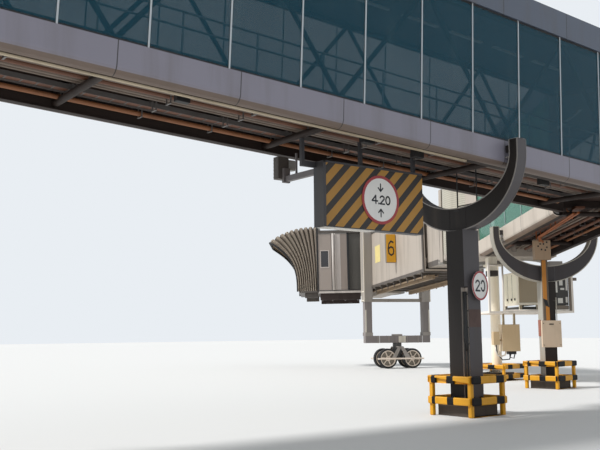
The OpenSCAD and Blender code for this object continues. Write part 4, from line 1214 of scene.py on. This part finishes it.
def draw_housing_edges(work):
    for side in SIDES:
        y = side * (HOUSING_Y + 0.25)
        for x in (-0.25, 0.25):
            block(work, (x - 0.02, y - 0.02, 3.75), (x + 0.02, y + 0.02, housing_top), 0.004)
        block(work, (-0.24, side * (OUTER_HALF + 0.04), housing_top + 0.0005),
              (0.24, side * (OUTER_HALF + 0.50), housing_top + 0.02), 0.004)
        for z in (3.80, 4.30):
            block(work, (-0.28, side * (OUTER_HALF + 0.501), z),
                  (0.28, side * (OUTER_HALF + 0.52), z + 0.07), 0.004)


def draw_beam_trims(work):
    for y in (-1.2, -0.55, 0.55, 1.2):
        block(work, (-0.215, y - 0.02, 1.425), (0.215, y + 0.02, 1.4295))
        for end in SIDES:
            block(work, (end * 0.222, y - 0.02, 1.42), (end * 0.206, y + 0.02, 1.84), 0.002)
    for side in SIDES:
        for end in SIDES:
            block(work, (end * 0.235, side * 1.50, 1.8305), (end * 0.2055, side * 1.96, 2.02), 0.004)
    block(work, (-0.20, -0.26, 1.8305), (0.20, 0.26, 1.92), 0.01)


draw_piece("housing_edges", ON_HOUSINGS, lift_light, draw_housing_edges)
draw_piece("beam_trims", ON_CARRIAGE, lift_grey, draw_beam_trims)
blocks("beam_ties", ON_CARRIAGE, white_strip, *(
    ((-0.212, y - 0.02, low), (far, y + 0.02, 1.836), 0.002)
    for y in (-1.46, 1.11) for far, low in ((-0.206, 1.424), (0.212, 1.8305))))
blocks("carriage_edges", ON_CARRIAGE, lift_light, *(
    ((-0.2125, side * 1.86, 2.03), (-0.2055, side * 1.935, 3.30), 0.002) for side in SIDES),
    ((-0.262, -0.44, 1.45), (-0.206, -0.03, 1.81), 0.008))
print("lift done")

# %% [markdown]
# ## Wheels
# Each wheel has a pale rim with six spokes, a hub and studs on a black tyre, and a brown disc behind the
# spokes. The tyre's profile is turned about its axle, which is how a tyre is moulded. The bogie carries
# struts up to the lift and a guard bar along each side.

# %% Tyres, rims and struts
disc_brown = weathered("wheel disc", "#80776a", dirt="#4f473c", rough=0.5, grime=0.5)
AXLE_Z = 0.56
WHEEL_X = 0.42
WHEEL_Y = 0.725
RIM = 0.449
TREAD = 0.5595
TYRE_HALF = 0.13


def each_wheel(work, both_outward, draw):
    # One wheel at each end of the axle
    for end in SIDES:
        facing = end if both_outward else 1
        moved(work, move(end * WHEEL_X, 0, 0) @ turn("Y", 90 * facing), draw)


def draw_tyre(work):
    half = [(RIM + 0.001, TYRE_HALF), (TREAD - 0.05, TYRE_HALF), (TREAD - 0.012, TYRE_HALF - 0.035),
            (TREAD, TYRE_HALF - 0.07)]
    turned(work, [(r, -z) for r, z in half] + half[::-1], 64)


def draw_rim(work):
    turned(work, [(0.40, -0.125), (RIM, -0.125), (RIM, 0.125), (0.40, 0.125)])
    turned(work, [(0.061, -0.10), (0.14, -0.10), (0.14, 0.12), (0.061, 0.12)], 32)
    for spoke in range(6):
        moved(work, turn("Z", 60 * spoke + 20), block, (0.135, -0.028, 0.052), (0.402, 0.028, 0.075), 0.004)


def draw_rims(work):
    each_wheel(work, True, draw_rim)
    moved(work, turn("Y", 90), rod, 0.0598, 1.02, 24)


def draw_disc(work):
    turned(work, [(0.12, 0.02), (0.401, 0.0), (0.401, 0.03), (0.12, 0.05)])


for label, y in (("left", WHEEL_Y), ("right", -WHEEL_Y)):
    place = (LIFT @ move(0, y, AXLE_Z), label + "_wheel")
    for name, material, draw in (
        ("_tyres", rubber, lambda work: each_wheel(work, False, draw_tyre)),
        ("_rims", rim_white, draw_rims),
        ("_wheel_discs", disc_brown, lambda work: each_wheel(work, True, draw_disc)),
    ):
        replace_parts(draw_piece(label + name, place, material, draw), "wheel_" + label)
    studs = joined([(ring(bolt_steel, 10, 0.185, 0.014, 0.03), move(end * 0.475, 0, 0) @ turn("Y", 90))
                    for end in SIDES])
    finished(label + "_wheel_studs", studs, place, bolt_steel)


def draw_guard_bars(work):
    for x in (-0.64, 0.64):
        tube(work, [(x, -1.36, 0.55), (x, 1.36, 0.55)], 0.045)
        for y in (-1.36, 1.36):
            tube(work, [(x, y, 0.55), (math.copysign(0.21, x), y * 0.66, 0.55)], 0.03, 8)


def draw_bogie_struts(work):
    for side in SIDES:
        x0, x1 = side * 0.60, side * 0.62
        ribbon(work, [(-0.30, 0.55), (0.02, 1.22)], [(-0.62, 0.55), (-0.16, 1.22)], x0, x1)
        ribbon(work, [(0.56, 0.55), (0.14, 1.22)], [(0.30, 0.55), (-0.04, 1.22)], x0, x1)
        block(work, (side * 0.20, -0.16, 1.18), (x1, 0.14, 1.23), 0.005)


draw_piece("bogie_guard_bars", ON_BOGIE, rim_white, draw_guard_bars)
draw_piece("bogie_struts", ON_BOGIE, lift_grey, draw_bogie_struts)
print("wheels done")

# %% [markdown]
# ## The rotunda's sliding curtain
# The rotunda's fixed curtain stops short of the turning frame, so that the tunnel can swing. A second
# curtain of slats hangs from the frame on each side and runs inside the fixed one. It is long enough to
# close the way at both ends of the swing. A flat panel joins it to the frame, and the frame's sides are
# clad in beige.

# %% Sliding curtain
SLIDE_RADIUS = 2.02
SLIDE_HALF = 1.35
SLIDE_STEP = 2.8
SLIDE_COUNT = 15
SLIDE_Z, SLIDE_HIGH, SLIDE_THICK = 1.575, 3.08, 0.024
FRAME_FACE = 2.129
slide_from = math.degrees(math.asin(SLIDE_HALF / SLIDE_RADIUS))
slide_start = math.sqrt(SLIDE_RADIUS ** 2 - SLIDE_HALF ** 2)
panel_length = FRAME_FACE - slide_start
slide_parts = []
for side in SIDES:
    for step in range(SLIDE_COUNT):
        slat = single(slat_finish, (SLIDE_RADIUS, 0, SLIDE_Z), (SLIDE_THICK, 0.102, SLIDE_HIGH))
        slide_parts.append((slat, turn("Z", side * (slide_from + SLIDE_STEP * (step + 0.5)))))
    middle = (slide_start + panel_length / 2, side * SLIDE_HALF, SLIDE_Z)
    slide_parts.append((single(slat_finish, middle, (panel_length, SLIDE_THICK, SLIDE_HIGH)), GROUND))
finished("sliding_curtain", joined(slide_parts), ON_TURNING_FRAME, slat_finish)
blocks("frame_cladding", ON_TURNING_FRAME, bridge_beige, *(
    ((2.131, side * 1.431, -0.18), (2.429, side * 1.446, 3.14), 0.004) for side in SIDES))
slide_to = slide_from + SLIDE_STEP * SLIDE_COUNT
print("sliding curtain ends", round(slide_to, 1), "degrees from the tunnel's axis")

# %% [markdown]
# ## The cab
# The cab's side is painted panels between rounded posts, with a window near its front for the driver,
# and a dark slatted curtain closes the way round to the tunnel. The panels are thin plates on the CAD's
# wall, so the wall still carries the cab's shape. The slats repeat, so they are a row.

# %% Cab panels, posts and windows
cab_light = weathered("cab light post", "#c9c0b8", grime=0.25, rough=0.45)
cab_pale = weathered("cab pale panel", "#c0b6af", grime=0.3, rough=0.5)
cab_brown = weathered("cab brown panel", "#93867d", grime=0.35, rough=0.55)
cab_panel_finish = weathered("cab side panel", "#a0948b", grime=0.3, rough=0.5)
dark_glass = weathered("dark glass", "#2b2a2b", rough=0.12, coat=0.6, grime=0.1, streaks=False)
CAB_SIDE = 1.73
CAB_TOP = 3.62
PANEL_FOOT, PANEL_TOP = 0.14, CAB_TOP - 0.08
FACE = (0.001, 0.016)
FRAME = (0.016, 0.03)
WINDOW_X0, WINDOW_X1, WINDOW_LOW, WINDOW_HIGH = 2.89, 3.34, 1.53, 2.50


def cab_plates(name, material, *plates):
    # Plates on both sides of the cab: from x, to x, inner offset, outer offset, foot, top
    blocks(name, ON_CAB, material, *(
        ((x0, side * (CAB_SIDE + inner), z0), (x1, side * (CAB_SIDE + outer), z1), 0.004)
        for side in SIDES for x0, x1, inner, outer, z0, z1 in plates))


cab_plates("cab_side_panels", cab_panel_finish,
           (2.72, 3.49, *FACE, PANEL_FOOT, WINDOW_LOW),
           (2.72, 3.49, *FACE, WINDOW_HIGH, PANEL_TOP),
           (2.72, WINDOW_X0, *FACE, WINDOW_LOW + 0.001, WINDOW_HIGH - 0.001),
           (WINDOW_X1, 3.49, *FACE, WINDOW_LOW + 0.001, WINDOW_HIGH - 0.001))
cab_plates("cab_windows", dark_glass, (WINDOW_X0, WINDOW_X1, 0.001, 0.008, WINDOW_LOW, WINDOW_HIGH))
cab_plates("cab_window_frames", cab_light,
           (WINDOW_X0 - 0.05, WINDOW_X0, *FRAME, WINDOW_LOW - 0.05, WINDOW_HIGH + 0.04),
           (WINDOW_X1, WINDOW_X1 + 0.03, *FRAME, WINDOW_LOW - 0.05, WINDOW_HIGH + 0.04),
           (WINDOW_X0, WINDOW_X1, *FRAME, WINDOW_LOW - 0.05, WINDOW_LOW),
           (WINDOW_X0, WINDOW_X1, *FRAME, WINDOW_HIGH, WINDOW_HIGH + 0.04))
cab_plates("cab_pale_panels", cab_pale, (2.16, 2.44, *FACE, PANEL_FOOT, PANEL_TOP))
cab_plates("cab_brown_panels", cab_brown, (1.77, 2.15, *FACE, PANEL_FOOT, PANEL_TOP))
cab_plates("cab_dark_edges", gasket_black,
           (3.50, 3.60, 0.001, 0.035, 0.02, 4.03), (1.64, 1.76, -0.02, 0.02, 0.13, CAB_TOP - 0.02),
           (2.695, 2.718, 0.001, 0.012, 0.13, PANEL_TOP))
cab_posts = [(x, side * (CAB_SIDE + 0.6 * radius), radius)
             for side in SIDES for x, radius in ((2.60, 0.075), (2.475, 0.035))]
tubes("cab_posts", ON_CAB, cab_light, *(
    ([(x, y, 0.12), (x, y, CAB_TOP - 0.06)], radius, 16) for x, y, radius in cab_posts), smooth=True)
print("cab panels done")

# %% Cab curtain and edges
curtain_dark = weathered("cab dark curtain", "#5d5953", dirt="#2c2d2b", rough=0.6, grime=0.35)
under_brown = weathered("underframe brown", "#3f3430", dirt="#26201d", rough=0.6, grime=0.5, gloss=0.3)
CURTAIN_Z, CURTAIN_HIGH = 1.84, 3.42


def draw_cab_underframe(work):
    for y in (-1.62, 1.50):
        block(work, (1.0, y, -0.46), (3.42, y + 0.12, -0.001), 0.01)
    for x in (1.05, 1.85, 2.65, 3.30):
        block(work, (x, -1.50, -0.30), (x + 0.10, 1.50, -0.001), 0.008)
    for x, y, size in ((1.5, 1.05, 0.22), (2.3, 0.95, 0.26), (2.9, 1.15, 0.18)):
        block(work, (x, y, -0.62), (x + size, y + size, -0.30), 0.01)
    tube(work, [(1.1, 1.36, -0.36), (3.3, 1.36, -0.38)], 0.04)


rows("cab_curtain", ON_CAB, curtain_dark,
     (11, (0.98, 1.655, CURTAIN_Z), (0.062, 0, 0), (0.05, 0.03, CURTAIN_HIGH)),
     (1, (1.30, 1.635, CURTAIN_Z), (1, 0, 0), (0.68, 0.012, CURTAIN_HIGH)))
cab_plates("cab_foot_strips", cab_light, (0.96, 3.50, 0.017, 0.05, -0.06, 0.06))
cab_plates("cab_top_edges", tunnel_steel, (0.2, 3.49, 0.001, 0.05, CAB_TOP - 0.02, CAB_TOP + 0.14))
draw_piece("cab_underframe", ON_CAB, under_brown, draw_cab_underframe)
print("cab edges done")

# %% [markdown]
# ## The canopy's bellows
# The canopy is cloth on hoops, folded like an accordion. The hoops fan out from the cab's foot, so that
# the top reaches further than the foot. The cloth bulges in broad rounded folds, and sinks in along a
# narrow line where a hoop holds it. A loft through many sections draws it, a thin shell gives it
# thickness, and an attribute that says how far in each point lies lets the material paint shade into the
# hollows.


# %% Canopy cloth
def canopy_material():
    material, tree = new_material("canopy cloth")
    place = place_of(tree)
    depth = tree.node("ShaderNodeAttribute", {"attribute_name": "hollow"}).out("Fac")
    stains = cloud(tree, place, 1.6, 4, (1, 1, 0.25))
    weave = cloud(tree, place, 90, 2)
    shade = mix(tree, stains * 0.8, paint("#c0b3a3"), paint("#a5998b"))
    # The fold hollows are darkened by how far in each point lies: painted shade
    shade = mix(tree, (depth * 1.10).smaller(1.0), shade, paint("#4a4038"))
    normal = tree.node("ShaderNodeBump", None, {"Strength": 0.3, "Distance": 0.01, "Height": weave})
    surface(tree, {
        "Base Color": shade, "Roughness": weave * 0.1 + 0.8, "Normal": normal, "Specular IOR Level": 0.25})
    return material


canopy_cloth = canopy_material()
print("canopy cloth ready")

# %% Bellows
FOLDS = 10
FOLD_STEPS = 8
FOLD_DEPTH = 0.13
CLOTH = 0.014
CAB_FRONT = 3.502
REACH = 2.95
FOOT_REACH = 1.27
CANOPY_TOP = 4.065
CANOPY_FOOT = 0.085
CORNER_RADIUS = 0.30


def hoop(share, inset):
    # share 0 at the cab, 1 at the aircraft; the line bends towards the aircraft as it rises
    half = CAB_SIDE - inset
    height = CANOPY_TOP - 0.85 * share ** 2.5 - inset - CANOPY_FOOT
    points = [(i / 16 * (height - CORNER_RADIUS) / height, half) for i in range(17)]
    for a in (math.radians(degrees) for degrees in (18, 36, 54, 72, 90)):
        points.append((1 - CORNER_RADIUS * (1 - math.sin(a)) / height,
                       half - CORNER_RADIUS * (1 - math.cos(a))))
    bend = 1.6 + 1.4 * share
    line = [(CAB_FRONT + FOOT_REACH * share + (REACH - FOOT_REACH) * share * rise ** bend, y,
             CANOPY_FOOT + height * rise) for rise, y in points]
    return line + [(line[-1][0], 0.0, line[-1][2])] + [(x, -y, z) for x, y, z in reversed(line)]


def draw_bellows(work):
    hollow = work.verts.layers.float.new("hollow")
    rings = []
    for i in range(FOLDS * FOLD_STEPS + 1):
        inside = (1 - math.sin(math.pi * (i % FOLD_STEPS) / FOLD_STEPS)) ** 1.6
        rings.append([work.verts.new(point) for point in hoop(i / (FOLDS * FOLD_STEPS), inside * FOLD_DEPTH)])
        for vertex in rings[-1]:
            vertex[hollow] = inside
    for first, second in zip(rings, rings[1:]):
        for k in range(len(first) - 1):
            work.faces.new((first[k], first[k + 1], second[k + 1], second[k]))
    bmesh.ops.solidify(work, geom=work.faces[:], thickness=CLOTH)


bellows = draw_piece("canopy_bellows", ON_CAB, canopy_cloth, draw_bellows, smooth=True)
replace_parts(bellows, "cab_canopy")
tubes("canopy_bumper", ON_CAB, gasket_black,
      ([(x + 0.01, y, z) for x, y, z in hoop(1.0, 0.09)], 0.055, 12), smooth=True)
blocks("canopy_sill", ON_CAB, tunnel_steel,
       ((3.50, -1.70, 0.01), (4.70, 1.70, 0.075), 0.01),
       ((3.50, 1.705, 0.0), (4.55, 1.74, 0.10), 0.004),
       *(((3.55, side * 1.5, -0.30), (4.35, side * 1.38, 0.008), 0.01) for side in SIDES))

# %% [markdown]
# ## The branch column's duct and boxes
# The duct on the column's face carries an amber cover that jogs sideways at a strap. The boxes have
# knock-outs, a handle and screws, and two orange pipes come to the upper box from the corner.

# %% Duct cover, knock-outs, orange pipes
duct_amber = weathered("duct amber", "#c07c28", dirt="#5b3a16", rough=0.5, grime=0.4)
pipe_orange = weathered("orange pipe", "#94501f", dirt="#4a2c1a", rough=0.5, grime=0.4, streaks=False)
plate_red = weathered("red plate", "#9a5a44", grime=0.3, rough=0.5)
DUCT_BACK, DUCT_FRONT = -0.3305, -0.352
UPPER_BOX, LOWER_BOX = -0.4705, -0.3705
duct_top = BOX_FOOT - 0.002


def draw_box_pipes(work):
    tube(work, [(0.6, 0.90, -0.57), (4.7, 0.58, -0.57), (5.22, 0.36, -0.58)], 0.038)
    tube(work, [(0.6, 1.06, -0.60), (4.4, 0.72, -0.60), (5.22, 0.24, -0.62)], 0.032)
    for x in (1.32, 2.97, 4.62):
        for shift, low in ((0.84, -0.62), (1.0, -0.65)):
            y = shift - 0.075 * (x - 0.6)
            block(work, (x, y - 0.012, low), (x + 0.03, y + 0.012, -0.28))


ribbons("duct_cover", ON_BRANCH_COLUMN, duct_amber,
        ([(0.055, 2.385), (0.055, 2.84)], [(0.175, 2.385), (0.175, 2.90)], DUCT_FRONT, DUCT_BACK),
        ([(0.125, 3.10), (0.125, duct_top)], [(0.265, 3.16), (0.265, duct_top)], DUCT_FRONT, DUCT_BACK))
ribbons("duct_strap", ON_BRANCH_COLUMN, cable_black,
        ([(0.06, 2.82), (0.13, 3.10)], [(0.19, 2.90), (0.265, 3.17)], -0.348, DUCT_BACK))
knock_outs = [((-0.476, y - 0.028, z - 0.028), (UPPER_BOX, y + 0.028, z + 0.028)) for y, z in (
    (0.34, 5.10), (0.22, 5.10), (0.10, 5.16), (0.10, 4.98), (0.16, 4.88), (0.42, 5.02), (0.30, 4.90))]
screws = [((-0.376, y - 0.012, z - 0.012), (LOWER_BOX, y + 0.012, z + 0.012))
          for y in (-0.29, 0.31) for z in (1.52, 2.28)]
blocks("box_marks", ON_BRANCH_COLUMN, cable_black, *knock_outs, *screws,
       ((-0.40, -0.06, 2.23), (LOWER_BOX, 0.10, 2.27), 0.008))
draw_piece("box_pipes", ON_BRANCH, pipe_orange, draw_box_pipes)
blocks("column_red_plate", ON_BRANCH_COLUMN, plate_red, ((0.02, 0.2505, 1.83), (0.235, 0.275, 2.41), 0.004))
blocks("column_pale_edge", ON_BRANCH_COLUMN, branch_light,
       ((-0.262, -0.2505, 2.39), (-0.2505, -0.222, 3.2), 0.002))
print("branch column dressed")

# %% [markdown]
# ## The service platform
# The platform carries tubular posts, the air units' base frames, door seams and knobs, and a dark control
# case in front of the far unit. Below it hang two cabinets, joined by bent conduits that are clipped to
# both ends, so they are rigid pipes here.

# %% Platform posts, cases and conduits
unit_trim = weathered("unit trim", "#f2e9d6", dirt="#8d7f6c", grime=0.3, rough=0.5)
cabinet_cream = weathered("cabinet cream", "#cfb48c", dirt="#8a7355", grime=0.3, rough=0.5)
case_dark = weathered("case dark", "#35322f", dirt="#5b4d40", grime=0.4, rough=0.5)
case_brown = weathered("case brown", "#75695c", dirt="#4a3e33", grime=0.4, rough=0.5)
case_grey = weathered("case grey", "#8d8780", dirt="#5b4d40", grime=0.35, rough=0.5)
DECK = 2.80
POST_X = 2.99
CABINET_FOOT = 1.219
UNIT_FACE = 0.0795


def draw_dark_bends(work):
    tube(work, [(1.99, -0.66, 1.479), (1.99, -0.64, 1.12), (1.97, -0.42, 0.88), (1.93, -0.12, 0.90),
                (1.92, -0.02, CABINET_FOOT)], 0.024)
    tube(work, [(2.06, -0.16, CABINET_FOOT), (2.06, -0.14, 0.98), (2.05, 0.02, 0.94),
                (2.05, 0.10, CABINET_FOOT)], 0.024)
    block(work, (1.85, -0.20, 1.10), (2.10, 0.12, CABINET_FOOT), 0.01)


tubes("platform_posts", ON_PLATFORM, white_steel,
      ([(POST_X, -0.64, DECK), (POST_X, -0.64, 4.60)], 0.036, 12),
      ([(POST_X, -1.20, 4.60), (POST_X, -0.64, 4.60)], 0.03),
      ([(POST_X, -0.64, DECK + 0.03), (POST_X, 2.12, DECK + 0.03)], 0.025, 8), smooth=True)
blocks("unit_trims", ON_PLATFORM, unit_trim,
       ((0.965, 0.062, 3.04), (2.795, UNIT_FACE, 3.13), 0.003),
       ((2.7805, 0.0795, 3.04), (2.80, 0.875, 3.13), 0.003),
       ((0.965, 0.8705, 3.04), (2.795, 0.888, 3.13), 0.003),
       ((2.56, 0.06, 3.15), (2.76, UNIT_FACE, 4.33), 0.004),
       ((0.99, 0.068, 4.30), (2.55, UNIT_FACE, 4.36), 0.003))
seams = [((x, 0.074, 3.16), (x + 0.012, UNIT_FACE, 4.29)) for x in (1.47, 1.98, 2.545)]
knobs = [((x - 0.045, 0.05, 3.24), (x + 0.045, UNIT_FACE, 3.33), 0.01) for x in (1.40, 1.90, 2.30)]
blocks("unit_marks", ON_PLATFORM, case_dark, *seams, *knobs, ((1.0, 0.10, 2.81), (2.74, 0.85, 2.98), 0.01))
blocks("low_cabinets", ON_PLATFORM, cabinet_cream,
       ((2.1805, -0.46, 1.23), (2.192, 0.25, 2.28), 0.003),
       ((1.93, -0.83, 1.48), (2.17, -0.57, 2.0), 0.01),
       ((2.0, -0.5695, 1.62), (2.06, -0.4705, 1.70)))
tubes("white_conduit", ON_PLATFORM, white_steel,
      ([(2.10, -0.74, 1.479), (2.10, -0.74, 1.25), (2.09, -0.66, 1.07), (2.06, -0.48, 1.02),
        (2.03, -0.32, 1.08), (2.02, -0.28, CABINET_FOOT)], 0.03), smooth=True)
draw_piece("dark_conduits", ON_PLATFORM, cable_black, draw_dark_bends)
blocks("control_case", ON_PLATFORM, case_dark,
       ((2.7805, 1.46, 3.02), (2.96, 2.02, 4.12), 0.01),
       ((2.55, -1.18, 4.18), (2.9495, -0.80, 4.40), 0.01))
blocks("case_panels", ON_PLATFORM, pale_trim, *(
    ((2.9605, y0, z0), (2.972, y1, z1), 0.002) for y0, y1, z0, z1 in (
        (1.51, 1.58, 3.52, 3.98), (1.92, 1.99, 3.60, 4.08), (1.66, 1.80, 3.80, 4.02),
        (1.58, 1.78, 3.10, 3.30), (1.90, 1.98, 3.12, 3.34), (1.70, 1.86, 3.62, 3.70))))
blocks("case_browns", ON_PLATFORM, case_brown,
       ((2.95, 2.03, DECK), (3.02, 2.115, 4.66), 0.004),
       ((2.7805, 1.46, 2.86), (2.97, 2.02, 3.01), 0.008),
       ((2.97, 2.2005, 3.98), (3.03, 2.36, 4.10), 0.01))
blocks("top_case", ON_PLATFORM, case_grey, ((2.30, 1.38, 4.2105), (2.76, 1.93, 4.78), 0.01))
blocks("post_case", ON_PLATFORM, unit_trim, ((2.55, -1.18, 4.401), (2.9495, -0.83, 4.95), 0.01))
print("platform dressed")

# %% [markdown]
# ## Floor, backdrop and light
# The stage is a plain pale floor. A broad, soft sun from the left and a pale sky light every side, so
# that each colour shows about as it is written, and the camera sees a near-white sky behind.


# %% Stage and light
def stage_floor():
    bpy.ops.mesh.primitive_plane_add(size=400, location=(0, 0, -0.002))
    floor = bpy.context.object
    floor.name = "stage_floor"
    material, tree = new_material("pale floor")
    surface(tree, {"Base Color": paint("#d9d8d5"), "Roughness": 0.8})
    floor.data.materials.append(material)


def sky():
    world = bpy.data.worlds.new("pale sky")
    bpy.context.scene.world = world
    world.use_nodes = True
    world.node_tree.nodes.clear()
    tree = Tree(world.node_tree)
    rays = tree.node("ShaderNodeLightPath")
    seen = rays.out("Is Camera Ray").larger(rays.out("Is Glossy Ray")).larger(rays.out("Is Transmission Ray"))
    strength = seen * 0.34 + 0.66
    colour = tree.node("ShaderNodeBackground", None, {"Color": paint("#e9eef3"), "Strength": strength})
    tree.node("ShaderNodeOutputWorld", None, {"Surface": colour})


def sun():
    lamp = bpy.data.lights.new("soft sun", "SUN")
    lamp.energy = 3.3
    lamp.angle = math.radians(10)
    holder = bpy.data.objects.new("soft sun", lamp)
    to_sun = Vector((-0.62, 0.28, 0.73))
    holder.rotation_euler = to_sun.to_track_quat("Z", "Y").to_euler()
    bpy.context.scene.collection.objects.link(holder)


stage_floor()
sky()
sun()
print("stage ready")
